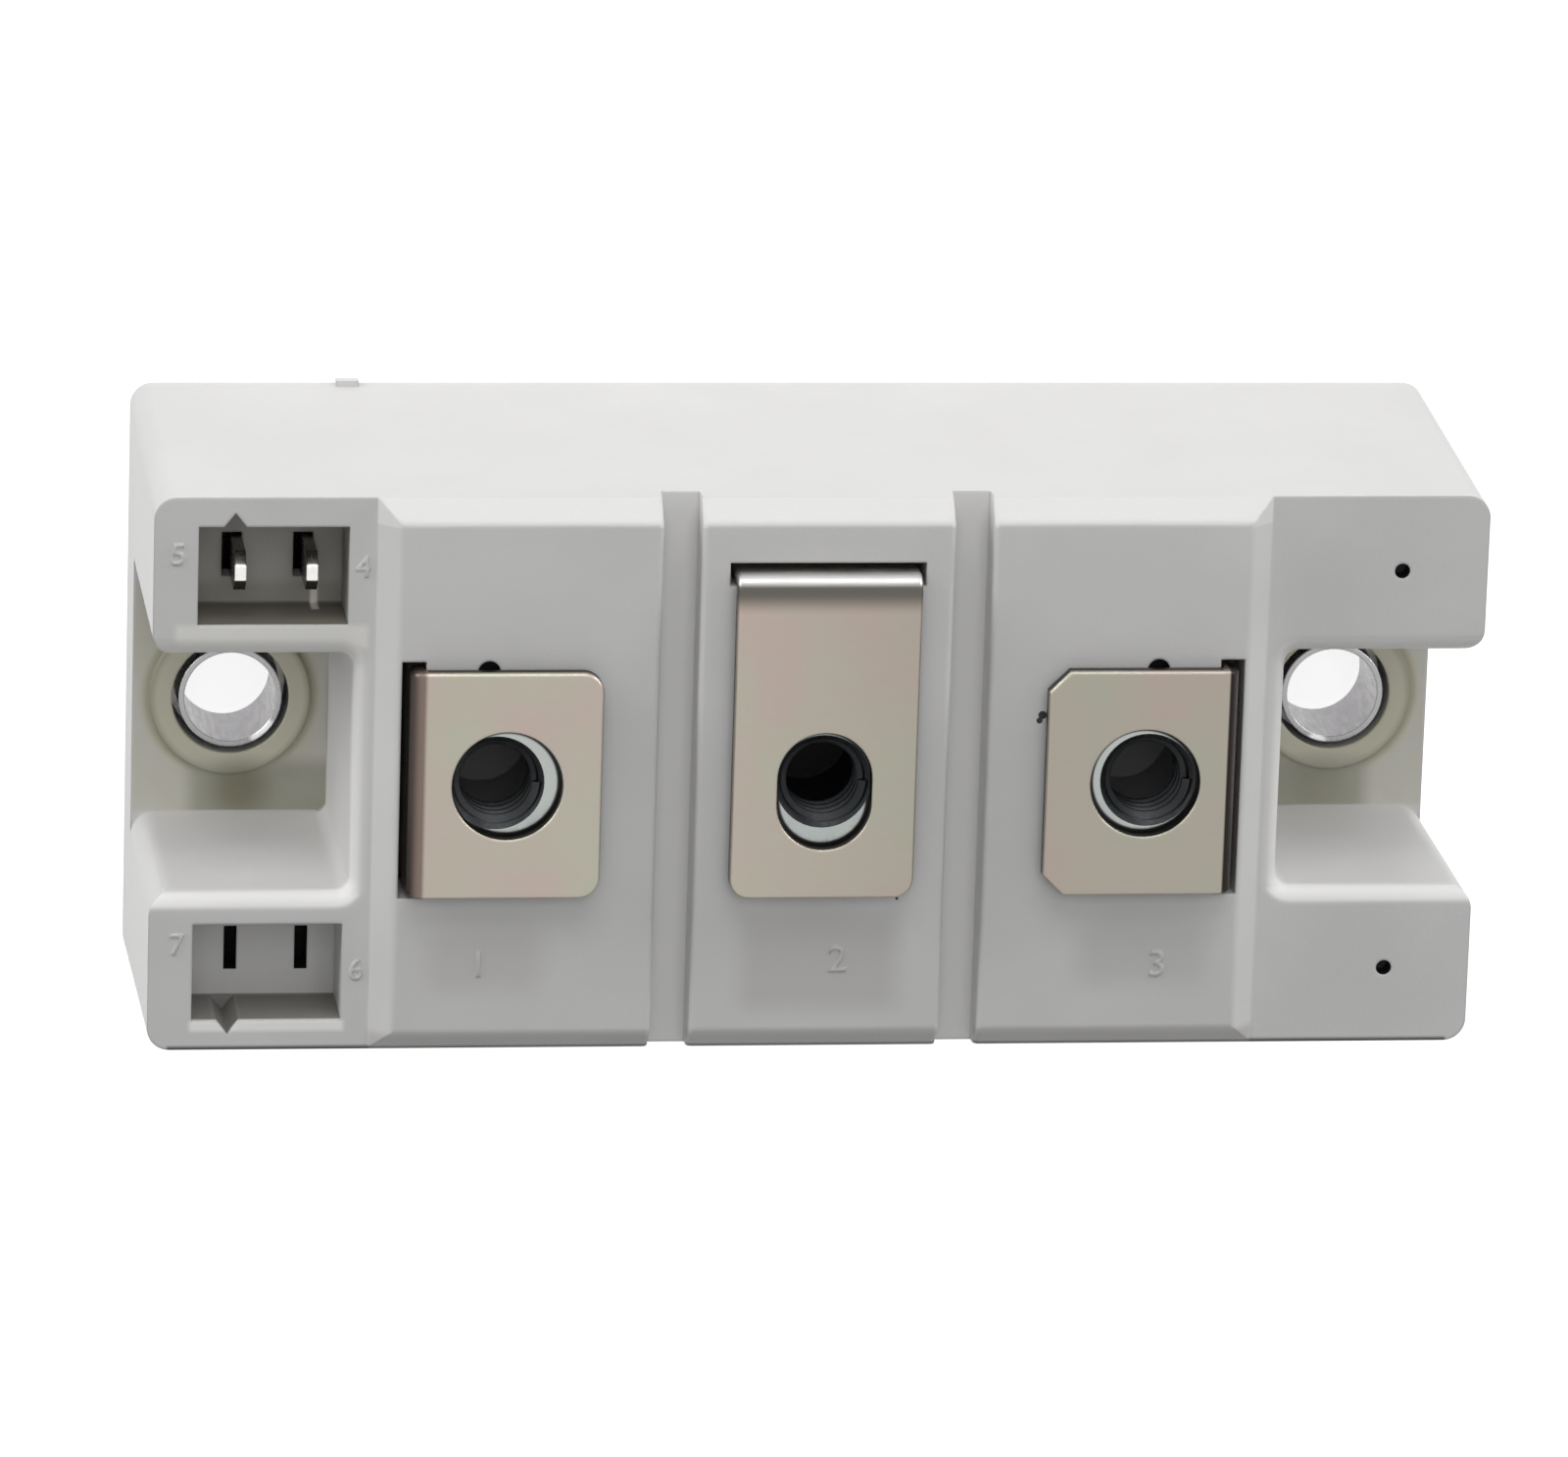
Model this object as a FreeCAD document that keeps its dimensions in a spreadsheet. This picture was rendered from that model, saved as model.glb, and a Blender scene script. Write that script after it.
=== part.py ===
import FreeCAD, Part
import Sketcher
import math
import os

# A power semiconductor module with screw terminals: a diode and a thyristor in
# one flat plastic case. Three straps with captive nuts lie on its raised deck,
# two flat gate tabs stand in a socket at one end, and a screw at each end holds
# its metal base plate down on a heat sink.
# Frame: +X along the module, +Z up from the heat sink to the terminals. The
# origin is the middle of the base plate's underside.

# Driving dimensions in millimetres.
SIZES = {
    # Case, outside
    "crown_width": 40.1,
    "wall_draft": 1.35,
    "skirt_lift": 0.3,
    "tower_top": 27.5,
    "corner_radius": 1.6,
    "wall": 1.8,
    # Raised deck between the two ends
    "block_margin": 8.5,
    "deck_rise": 1.5,
    "deck_bevel": 1.55,
    "deck_thickness": 5.5,
    "groove_shift": 1.25,
    "groove_width": 2.7,
    "groove_depth": 2.8,
    "groove_rounding": 0.4,
    "deck_rounding": 0.8,
    # Screw wells between the end towers
    "well_ledge": 1.45,
    "well_length": 14.05,
    "tower_width": 11.45,
    "well_corner_radius": 1.0,
    "ear_top": 7.0,
    "rim_radius": 1.4,
    "mouth_radius": 1.7,
    "collar_diameter": 11.5,
    "collar_rise": 0.4,
    "ear_hole_gap": 0.5,
    # Base plate and its seal
    "mount_inset": 7.0,
    "plate_thickness": 3.0,
    "plate_corner_radius": 1.2,
    "skirt_wall": 1.9,
    "fit_gap": 0.15,
    "seal_thickness": 0.3,
    "seal_ledge": 1.1,
    # Tubular rivets through the base plate
    "sleeve_bore": 6.6,
    "sleeve_wall": 0.4,
    "flange_diameter": 9.6,
    "flange_thickness": 0.8,
    "flange_recess": 0.1,
    # Sockets for the gate plug
    "socket_inset": 8.35,
    "socket_side_wall": 2.1,
    "socket_length": 10.5,
    "socket_width": 7.1,
    "socket_depth": 6.0,
    "socket_floor": 2.0,
    "key_offset": 2.7,
    "key_width": 1.6,
    "key_depth": 1.0,
    "tab_pitch": 5.0,
    "tab_slot_width": 1.4,
    "spare_slot_width": 0.9,
    "spare_slot_shift": 0.35,
    "tab_slot_length": 3.2,
    "tab_shift": 0.25,
    # Gate tabs
    "tab_width": 2.8,
    "tab_thickness": 0.8,
    "tab_height": 5.2,
    "tab_point": 0.9,
    "tab_shoulder_width": 4.6,
    "tab_shoulder_height": 2.5,
    "tab_tail_width": 1.6,
    "tab_tail_length": 3.0,
    # Nuts under the straps
    "terminal_pitch": 23.0,
    "nut_flats": 10.0,
    "nut_height": 5.0,
    "nut_bore": 5.0,
    "nut_lead_in": 0.6,
    "nut_pocket_gap": 0.1,
    "screw_bore": 6.6,
    "screw_room": 7.0,
    "boss_diameter": 9.2,
    "boss_floor": 1.6,
    # Straps
    "strap_thickness": 1.0,
    "strap_standoff": 0.6,
    "strap_bend": 0.2,
    "plate_rounding": 0.35,
    "hole_rounding": 0.25,
    "strap_neck_drop": 3.0,
    "middle_foot": 5.0,
    "foot_chip_gap": 0.95,
    "foot_clip_gap": 0.55,
    "slot_gap_outside": 0.5,
    "slot_gap_inside": 0.2,
    "slot_gap_ends": 0.4,
    "outer_width": 16.4,
    "outer_tip": 7.35,
    "outer_leg": 6.2,
    "outer_hole": 7.7,
    "left_hole_shift": 0.7,
    "right_hole_shift": 0.3,
    "outer_corner": 1.5,
    "outer_neck": 9.0,
    "middle_width": 13.0,
    "middle_tip": 8.3,
    "middle_leg_inset": 4.85,
    "middle_hole": 6.6,
    "middle_hole_length": 8.4,
    "middle_hole_shift": 0.5,
    "middle_corner": 1.4,
    "middle_neck": 10.0,
    # Ceramic tiles on the base plate
    "tile_split": 2.0,
    "tile_end_gap": 1.1,
    "tile_side_gap": 3.25,
    "ceramic_thickness": 0.65,
    "copper_thickness": 0.3,
    "copper_setback": 0.6,
    "pad_gap": 1.5,
    "short_pad": 8.0,
    # Chips and their clips
    "chip_size": 12.0,
    "chip_thickness": 0.4,
    "chip_offset": 2.5,
    "clip_width": 7.0,
    "clip_shift": 1.0,
    "clip_thickness": 0.5,
    "clip_contact": 7.0,
    "clip_rise": 1.6,
    "clip_foot": 3.0,
    "clip_pad_inset": 2.6,
    # Leads from the gate tabs
    "lead_diameter": 1.1,
    "lead_bend": 2.5,
    "gate_level": 7.2,
    "cathode_level": 11.0,
    "gate_inset": 1.4,
    "cathode_inset": 1.6,
    # Fillings
    "gel_top": 12.4,
    "resin_top": 15.2,
    # Small marks of the mould
    "pin_mark": 1.1,
    "pin_mark_depth": 1.6,
    "pin_mark_end_inset": 6.1,
    "pin_mark_side_inset": 5.45,
    "relief_diameter": 1.6,
    "relief_depth": 1.6,
    "relief_cover": 0.35,
    "relief_shift": 0.6,
    "gate_nub_length": 1.6,
    "gate_nub_height": 1.0,
    "gate_nub_reach": 0.35,
    # How far a cut runs past the face that it opens
    "overshoot": 1.0,
}

ROOT_OF_THREE = math.sqrt(3.0)
CHAMFER_TANGENT = math.tan(math.radians(30.0))
TOUCH = 0.02
LEAD_SIDES = 8

doc = FreeCAD.newDocument("Module")
finished = []


class Span:
    """A length: its number, and the sheet expression that gives it."""

    def __init__(self, number, text):
        self.number = number
        self.text = text

    def __add__(self, other):
        other = as_span(other)
        return Span(self.number + other.number, f"({self.text} + {other.text})")

    def __sub__(self, other):
        other = as_span(other)
        return Span(self.number - other.number, f"({self.text} - {other.text})")

    def __mul__(self, factor):
        return Span(self.number * factor, f"({self.text} * {factor!r})")

    def __truediv__(self, factor):
        return Span(self.number / factor, f"({self.text} / {factor!r})")

    def __neg__(self):
        return self * -1


def as_span(value):
    if isinstance(value, Span):
        return value
    return Span(float(value), repr(float(value)))


def size(name):
    return Span(SIZES[name], f"Sizes.{name}")


def fill_sheet():
    sheet = doc.addObject("Spreadsheet::Sheet", "Sizes")
    for row, (name, number) in enumerate(SIZES.items(), start=1):
        sheet.set(f"A{row}", name)
        sheet.set(f"B{row}", str(number))
        sheet.setAlias(f"B{row}", name)
    doc.recompute()


fill_sheet()

# Levels and edges that several pieces share.
ZERO = as_span(0)
HALF_CROWN = size("crown_width") / 2
HALF_FOOT = HALF_CROWN + size("wall_draft")
DECK_END = size("terminal_pitch") + size("block_margin")
WELL_END = DECK_END + size("well_ledge")
HALF_LENGTH = WELL_END + size("well_length")
WELL_SIDE = HALF_CROWN - size("tower_width")
DECK_TOP = size("tower_top") + size("deck_rise")
DECK_UNDERSIDE = DECK_TOP - size("deck_thickness")
STRAP_UNDERSIDE = DECK_TOP + size("strap_standoff")
STRAP_TOP = STRAP_UNDERSIDE + size("strap_thickness")
POCKET_FLOOR = STRAP_UNDERSIDE - size("nut_height")
SCREW_END = POCKET_FLOOR - size("screw_room")
BOSS_END = SCREW_END - size("boss_floor")
SOCKET_BOTTOM = size("tower_top") - size("socket_depth")
TAB_CEILING = SOCKET_BOTTOM - size("socket_floor")
LEDGE = size("plate_thickness") + size("seal_thickness")
RECESS_END = HALF_LENGTH - size("skirt_wall")
RECESS_SIDE = HALF_FOOT - size("skirt_wall")
PLATE_END = RECESS_END - size("fit_gap")
PLATE_SIDE = RECESS_SIDE - size("fit_gap")
ROOM_END = DECK_END - size("wall")
ROOM_SIDE = HALF_CROWN - size("wall")
TOWER_ROOM_END = RECESS_END - size("seal_ledge")
TOWER_ROOM_SIDE = WELL_SIDE + size("wall")
MOUNT = HALF_LENGTH - size("mount_inset")
GROOVE = size("terminal_pitch") / 2 - size("groove_shift")
MIDDLE_FACE = HALF_CROWN - size("middle_leg_inset")
SOCKET_X = -(HALF_LENGTH - size("socket_inset"))
SOCKET_Y = HALF_CROWN - size("socket_side_wall") - size("socket_width") / 2
SLEEVE_OUTER = size("sleeve_bore") + size("sleeve_wall") * 2
COLLAR_TOP = size("ear_top") + size("collar_rise")
PAD_BOTTOM = size("plate_thickness") + size("copper_thickness") + size("ceramic_thickness")
PAD_TOP = PAD_BOTTOM + size("copper_thickness")
CHIP_TOP = PAD_TOP + size("chip_thickness")
TILE_INNER = size("tile_split") / 2
TILE_OUTER = ROOM_END - size("tile_end_gap")
TILE_SIDE = ROOM_SIDE - size("tile_side_gap")
PAD_INNER = TILE_INNER + size("copper_setback")
PAD_OUTER = TILE_OUTER - size("copper_setback")
PAD_SIDE = TILE_SIDE - size("copper_setback")
SHORT_PAD_LEFT = PAD_INNER + size("short_pad")
SHORT_PAD_RIGHT = PAD_OUTER - size("short_pad")
TAB_SLOTS = [SOCKET_X - size("tab_pitch") / 2, SOCKET_X + size("tab_pitch") / 2]


def bind(item, field, span):
    item.setExpression(field, span.text)


def new_body(name):
    body = doc.addObject("PartDesign::Body", name)
    body.Label = name
    finished.append(body)
    return body


def new_sketch(body, name, role="XY_Plane", lift=ZERO):
    """A sketch on one of the body's own planes, lifted along that plane's normal."""
    plane = [item for item in body.Origin.OriginFeatures if item.Role == role][0]
    sketch = body.newObject("Sketcher::SketchObject", name)
    sketch.AttachmentSupport = [(plane, "")]
    sketch.MapMode = "FlatFace"
    bind(sketch, "AttachmentOffset.Base.z", lift)
    return sketch


def hold_point(sketch, curve, end, x, y):
    for kind, span in (("DistanceX", x), ("DistanceY", y)):
        rule = Sketcher.Constraint(kind, -1, 1, curve, end, span.number)
        index = sketch.addConstraint(rule)
        bind(sketch, f"Constraints[{index}]", span)


def draw_polygon(sketch, corners):
    """A closed outline with each corner held at its own two lengths."""
    corners = [(as_span(x), as_span(y)) for x, y in corners]
    spots = [FreeCAD.Vector(x.number, y.number, 0) for x, y in corners]
    count = len(spots)
    first = sketch.GeometryCount
    for index in range(count):
        sketch.addGeometry(Part.LineSegment(spots[index], spots[(index + 1) % count]), False)
    for index in range(count):
        following = (index + 1) % count
        sketch.addConstraint(Sketcher.Constraint("Coincident", first + index, 2, first + following, 1))
    for index, (x, y) in enumerate(corners):
        hold_point(sketch, first + index, 1, x, y)


def draw_box(sketch, x_low, x_high, y_low, y_high):
    draw_polygon(sketch, [(x_low, y_low), (x_high, y_low), (x_high, y_high), (x_low, y_high)])


def draw_circle(sketch, x, y, diameter):
    centre = FreeCAD.Vector(x.number, y.number, 0)
    circle = Part.Circle(centre, FreeCAD.Vector(0, 0, 1), diameter.number / 2)
    curve = sketch.addGeometry(circle, False)
    hold_point(sketch, curve, 3, x, y)
    index = sketch.addConstraint(Sketcher.Constraint("Diameter", curve, diameter.number))
    bind(sketch, f"Constraints[{index}]", diameter)


def draw_hexagon(sketch, x, y, flats):
    """A hexagon with two flats across the X direction and corners along Y."""
    reach = flats / 2
    corner = flats / ROOT_OF_THREE
    draw_polygon(sketch, [
        (x, y - corner),
        (x + reach, y - corner / 2),
        (x + reach, y + corner / 2),
        (x, y + corner),
        (x - reach, y + corner / 2),
        (x - reach, y - corner / 2),
    ])


def pad(body, sketch, name, height):
    feature = body.newObject("PartDesign::Pad", name)
    feature.Profile = sketch
    bind(feature, "Length", height)
    doc.recompute()
    return feature


def cut(body, sketch, name, depth=None, reverse=False):
    """A pocket against the sketch's normal, right through when no depth is given."""
    before = body.Shape.Volume
    feature = body.newObject("PartDesign::Pocket", name)
    feature.Profile = sketch
    feature.Reversed = reverse
    if depth is None:
        feature.Type = "ThroughAll"
    else:
        bind(feature, "Length", depth)
    doc.recompute()
    if body.Shape.Volume >= before:
        raise RuntimeError(f"{name} removes nothing")
    return feature


def runs_along(edge, axis):
    box = edge.BoundBox
    spans = {"x": box.XLength, "y": box.YLength, "z": box.ZLength}
    longest = max(spans, key=spans.get)
    return longest == axis and len(edge.Vertexes) == 2


def edges_at(shape, axis, test):
    """Names of the edges along one axis whose middle point passes the test."""
    names = []
    for number, edge in enumerate(shape.Edges, start=1):
        if runs_along(edge, axis) and test(edge.BoundBox.Center):
            names.append(f"Edge{number}")
    if not names:
        raise RuntimeError("no edge found to dress")
    return names


def near(value, target):
    return abs(value - target) < TOUCH


def level_edges(shape, level, test):
    """Names of the edges that lie on one level and whose middle passes the test."""
    names = []
    for number, edge in enumerate(shape.Edges, start=1):
        on_level = all(near(vertex.Z, level.number) for vertex in edge.Vertexes)
        middle = edge.valueAt((edge.FirstParameter + edge.LastParameter) / 2)
        if on_level and near(middle.z, level.number) and test(middle):
            names.append(f"Edge{number}")
    if not names:
        raise RuntimeError("no edge found on the level")
    return names


def hole_edges(shape, level, x, y, reach):
    """Names of the edges on one level that stay within reach of a hole's middle."""
    middle = FreeCAD.Vector(x.number, y.number, level.number)
    limit = reach.number + TOUCH
    return level_edges(shape, level, lambda p: p.distanceToPoint(middle) < limit)


def dress(body, kind, name, edges, amount):
    """Round or bevel the named edges of the body as it stands."""
    base = body.Tip
    feature = body.newObject(f"PartDesign::{kind}", name)
    feature.Base = (base, edges)
    bind(feature, {"Fillet": "Radius", "Chamfer": "Size"}[kind], amount)
    doc.recompute()
    return feature


def slab(name, x_low, x_high, y_low, y_high, bottom, height):
    """A flat rectangular piece such as a tile, a copper pad or a chip."""
    body = new_body(name)
    sketch = new_sketch(body, f"{name}_outline", lift=bottom)
    draw_box(sketch, x_low, x_high, y_low, y_high)
    pad(body, sketch, f"{name}_sheet", height)
    return body


def draw_room_outlines(sketch, sides):
    """Footprints of the hollow towers, overlapping the main room a little."""
    for side in sides:
        for hand in (1, -1):
            near_end = ROOM_END - size("overshoot")
            draw_box(
                sketch,
                near_end * side,
                TOWER_ROOM_END * side,
                TOWER_ROOM_SIDE * hand,
                ROOM_SIDE * hand,
            )


def draw_path(sketch, corners, arcs):
    """A closed outline. A segment in arcs turns about a middle at a radius, the others are straight."""
    spots = [FreeCAD.Vector(x.number, y.number, 0) for x, y in corners]
    first = sketch.GeometryCount
    ends = []
    for index, start in enumerate(spots):
        finish = spots[(index + 1) % len(spots)]
        if index in arcs:
            x, y, radius = arcs[index]
            middle = FreeCAD.Vector(x.number, y.number, 0)
            outward = (start - middle + finish - middle).normalize()
            line = Part.Arc(start, middle + outward * radius.number, finish)
        else:
            line = Part.LineSegment(start, finish)
        curve = sketch.addGeometry(line, False)
        forward = sketch.getPoint(curve, 1).distanceToPoint(start) < TOUCH
        ends.append((1, 2) if forward else (2, 1))
    for index, (x, y) in enumerate(corners):
        following = (index + 1) % len(corners)
        rule = Sketcher.Constraint(
            "Coincident", first + index, ends[index][1], first + following, ends[following][0]
        )
        sketch.addConstraint(rule)
        hold_point(sketch, first + index, ends[index][0], x, y)
    for index, (x, y, radius) in arcs.items():
        rule = sketch.addConstraint(Sketcher.Constraint("Radius", first + index, radius.number))
        bind(sketch, f"Constraints[{rule}]", radius)


def draw_mouth(sketch, side, hand):
    """What a flared mouth leaves out of a tower beside the open end of a well."""
    radius = size("mouth_radius")
    start = (HALF_LENGTH - radius) * side
    end = HALF_LENGTH * side
    beyond = (HALF_LENGTH + size("overshoot")) * side
    wall = WELL_SIDE * hand
    flare = (WELL_SIDE + radius) * hand
    inside = (WELL_SIDE - size("overshoot")) * hand
    draw_path(sketch, [
        (start, wall),
        (end, flare),
        (beyond, flare),
        (beyond, inside),
        (start, inside),
    ], {0: (start, flare, radius)})


def case_outside(body):
    """The moulding's drafted block, its four towers and the screw wells."""
    profile = new_sketch(body, "case_profile", "YZ_Plane", -HALF_LENGTH)
    draw_polygon(profile, [
        (-HALF_FOOT, size("skirt_lift")),
        (HALF_FOOT, size("skirt_lift")),
        (HALF_CROWN, size("tower_top")),
        (-HALF_CROWN, size("tower_top")),
    ])
    pad(body, profile, "case_block", HALF_LENGTH * 2)

    wells = new_sketch(body, "well_outlines", lift=size("tower_top"))
    for side in (1, -1):
        open_end = HALF_LENGTH + size("overshoot")
        draw_box(wells, WELL_END * side, open_end * side, -WELL_SIDE, WELL_SIDE)
    cut(body, wells, "screw_wells", size("tower_top") - size("ear_top"))

    well_side = WELL_SIDE.number
    well_end = WELL_END.number
    half_length = HALF_LENGTH.number
    inner = edges_at(
        body.Shape, "z", lambda p: near(abs(p.x), well_end) and near(abs(p.y), well_side)
    )
    dress(body, "Fillet", "well_corners", inner, size("well_corner_radius"))
    rims = level_edges(
        body.Shape, size("tower_top"), lambda p: abs(p.y) < well_side + TOUCH and abs(p.x) < half_length
    )
    dress(body, "Fillet", "well_rims", rims, size("rim_radius"))
    mouths = new_sketch(body, "mouth_outlines", lift=size("tower_top"))
    for side in (1, -1):
        for hand in (1, -1):
            draw_mouth(mouths, side, hand)
    cut(body, mouths, "well_mouths", size("tower_top") - size("ear_top"))
    corners = edges_at(
        body.Shape, "z", lambda p: near(abs(p.x), half_length) and abs(p.y) > HALF_CROWN.number
    )
    dress(body, "Fillet", "case_corners", corners, size("corner_radius"))

    collars = new_sketch(body, "collar_outlines", lift=size("ear_top") - size("overshoot"))
    for side in (1, -1):
        draw_circle(collars, MOUNT * side, ZERO, size("collar_diameter"))
    pad(body, collars, "screw_collars", size("collar_rise") + size("overshoot"))


def case_deck(body):
    """The raised deck with bevelled edges and two cross grooves."""
    lower = new_sketch(body, "deck_foot", lift=size("tower_top"))
    draw_box(lower, -DECK_END, DECK_END, -HALF_CROWN, HALF_CROWN)
    upper = new_sketch(body, "deck_face", lift=DECK_TOP)
    face_end = DECK_END - size("deck_bevel")
    face_side = HALF_CROWN - size("deck_bevel")
    draw_box(upper, -face_end, face_end, -face_side, face_side)
    deck = body.newObject("PartDesign::AdditiveLoft", "raised_deck")
    deck.Profile = lower
    deck.Sections = [upper]
    deck.Ruled = True
    doc.recompute()
    crest = level_edges(body.Shape, DECK_TOP, lambda p: True)
    dress(body, "Fillet", "deck_crest", crest, size("deck_rounding"))

    grooves = new_sketch(body, "groove_outlines", lift=DECK_TOP)
    side_reach = HALF_FOOT + size("overshoot")
    for side in (1, -1):
        middle = GROOVE * side
        half = size("groove_width") / 2
        draw_box(grooves, middle - half, middle + half, -side_reach, side_reach)
    cut(body, grooves, "cross_grooves", size("groove_depth"))

    lips = [(GROOVE + size("groove_width") / 2 * side).number for side in (1, -1)]
    top = DECK_TOP.number
    edges = edges_at(
        body.Shape, "y", lambda p: near(p.z, top) and any(near(abs(p.x), lip) for lip in lips)
    )
    dress(body, "Fillet", "groove_lips", edges, size("groove_rounding"))


def case_inside(body):
    """The room for the chips, the hollow towers and the recess for the base plate."""
    room = new_sketch(body, "room_outline", lift=DECK_UNDERSIDE)
    draw_box(room, -ROOM_END, ROOM_END, -ROOM_SIDE, ROOM_SIDE)
    cut(body, room, "chip_room")

    for label, side, ceiling in (
        ("socket", -1, TAB_CEILING),
        ("plain", 1, size("tower_top") - size("wall")),
    ):
        hollow = new_sketch(body, f"{label}_tower_outlines", lift=ceiling)
        draw_room_outlines(hollow, [side])
        cut(body, hollow, f"{label}_tower_rooms")

    recess = new_sketch(body, "recess_outline", lift=LEDGE)
    draw_box(recess, -RECESS_END, RECESS_END, -RECESS_SIDE, RECESS_SIDE)
    cut(body, recess, "plate_recess")

    holes = new_sketch(body, "ear_hole_outlines", lift=COLLAR_TOP)
    for side in (1, -1):
        draw_circle(holes, MOUNT * side, ZERO, SLEEVE_OUTER + size("ear_hole_gap") * 2)
    cut(body, holes, "ear_holes")


def case_nut_pockets(body):
    """Bosses under the deck, the hexagon pockets and room for the screw tips."""
    places = [size("terminal_pitch") * side for side in (-1, 0, 1)]
    bosses = new_sketch(body, "boss_outlines", lift=BOSS_END)
    for x in places:
        draw_circle(bosses, x, ZERO, size("boss_diameter"))
    pad(body, bosses, "nut_bosses", DECK_UNDERSIDE - BOSS_END + size("overshoot"))

    pockets = new_sketch(body, "nut_pocket_outlines", lift=DECK_TOP)
    for x in places:
        draw_hexagon(pockets, x, ZERO, size("nut_flats") + size("nut_pocket_gap") * 2)
    cut(body, pockets, "nut_pockets", DECK_TOP - POCKET_FLOOR)

    bores = new_sketch(body, "screw_bore_outlines", lift=POCKET_FLOOR)
    for x in places:
        draw_circle(bores, x, ZERO, size("screw_bore"))
    cut(body, bores, "screw_bores", size("screw_room"))


def case_strap_slots(body):
    """Slots in the deck for the legs of the three straps."""
    slots = new_sketch(body, "strap_slot_outlines", lift=DECK_TOP)
    outer_face = size("terminal_pitch") + size("outer_leg")
    outer_back = outer_face - size("strap_thickness")
    half = size("outer_width") / 2 + size("slot_gap_ends")
    for side in (1, -1):
        draw_box(
            slots,
            (outer_back - size("slot_gap_inside")) * side,
            (outer_face + size("slot_gap_outside")) * side,
            -half,
            half,
        )
    middle_back = MIDDLE_FACE - size("strap_thickness")
    middle_half = size("middle_width") / 2 + size("slot_gap_ends")
    draw_box(
        slots,
        -middle_half,
        middle_half,
        middle_back - size("slot_gap_inside"),
        MIDDLE_FACE + size("slot_gap_outside"),
    )
    cut(body, slots, "strap_slots", size("deck_thickness") + size("overshoot"))


def case_sockets(body):
    """Two keyed sockets in the left towers, with slots for two tabs each."""
    outlines = new_sketch(body, "socket_outlines", lift=size("tower_top"))
    keys = new_sketch(body, "key_outlines", lift=size("tower_top"))
    half_length = size("socket_length") / 2
    half_width = size("socket_width") / 2
    key_x = SOCKET_X - size("key_offset")
    half_key = size("key_width") / 2
    for hand in (1, -1):
        middle = SOCKET_Y * hand
        draw_box(
            outlines,
            SOCKET_X - half_length,
            SOCKET_X + half_length,
            middle - half_width,
            middle + half_width,
        )
        edge = (SOCKET_Y + half_width) * hand
        inset = half_key * hand
        draw_polygon(keys, [
            (key_x - half_key, edge),
            (key_x - half_key, edge - inset),
            (key_x + half_key, edge - inset),
            (key_x + half_key, edge),
            (key_x, edge + size("key_depth") * hand),
        ])
    cut(body, outlines, "sockets", size("socket_depth"))
    cut(body, keys, "socket_keys", size("socket_depth"))

    slots = new_sketch(body, "tab_slot_outlines", lift=SOCKET_BOTTOM)
    half_slot = size("tab_slot_length") / 2
    for hand, width, shift in (
        (1, size("tab_slot_width"), ZERO),
        (-1, size("spare_slot_width"), size("spare_slot_shift")),
    ):
        middle = SOCKET_Y * hand
        for slot_x in TAB_SLOTS:
            x = slot_x + shift
            draw_box(slots, x - width / 2, x + width / 2, middle - half_slot, middle + half_slot)
    cut(body, slots, "tab_slots", size("socket_floor") + size("overshoot"))


def case_mould_marks(body):
    """Pin marks on the plain towers, reliefs beside the straps, and gate nubs."""
    pins = new_sketch(body, "pin_mark_outlines", lift=size("tower_top"))
    pin_x = HALF_LENGTH - size("pin_mark_end_inset")
    pin_y = HALF_CROWN - size("pin_mark_side_inset")
    for hand in (1, -1):
        draw_circle(pins, pin_x, pin_y * hand, size("pin_mark"))
    cut(body, pins, "pin_marks", size("pin_mark_depth"))

    reliefs = new_sketch(body, "relief_outlines", lift=DECK_TOP)
    relief_x = size("terminal_pitch") + size("relief_shift")
    relief_y = size("outer_width") / 2 - size("relief_cover")
    for side in (1, -1):
        draw_circle(reliefs, relief_x * side, relief_y, size("relief_diameter"))
    cut(body, reliefs, "reliefs", size("relief_depth"))

    nubs = new_sketch(body, "gate_nub_outlines", lift=size("skirt_lift"))
    half = size("gate_nub_length") / 2
    for hand in (1, -1):
        draw_box(
            nubs,
            -DECK_END - half,
            -DECK_END + half,
            (HALF_FOOT - size("skirt_wall") / 2) * hand,
            (HALF_FOOT + size("gate_nub_reach")) * hand,
        )
    pad(body, nubs, "gate_nubs", size("gate_nub_height"))


def housing():
    """The moulded case: the piece that carries or holds all the others."""
    body = new_body("housing")
    case_outside(body)
    case_deck(body)
    case_inside(body)
    case_nut_pockets(body)
    case_strap_slots(body)
    case_sockets(body)
    case_mould_marks(body)
    return body


def base_plate():
    """Nickel-plated copper plate with a counterbored hole at each end."""
    body = slab(
        "base_plate", -PLATE_END, PLATE_END, -PLATE_SIDE, PLATE_SIDE, ZERO, size("plate_thickness")
    )
    end = PLATE_END.number
    corners = edges_at(body.Shape, "z", lambda p: near(abs(p.x), end))
    dress(body, "Fillet", "plate_corners", corners, size("plate_corner_radius"))
    holes = new_sketch(body, "rivet_hole_outlines", lift=size("plate_thickness"))
    seats = new_sketch(body, "flange_seat_outlines")
    for side in (1, -1):
        draw_circle(holes, MOUNT * side, ZERO, SLEEVE_OUTER)
        draw_circle(seats, MOUNT * side, ZERO, size("flange_diameter") + size("fit_gap") * 2)
    cut(body, holes, "rivet_holes")
    seat_depth = size("flange_thickness") + size("flange_recess")
    cut(body, seats, "flange_seats", seat_depth, reverse=True)
    return body


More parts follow.
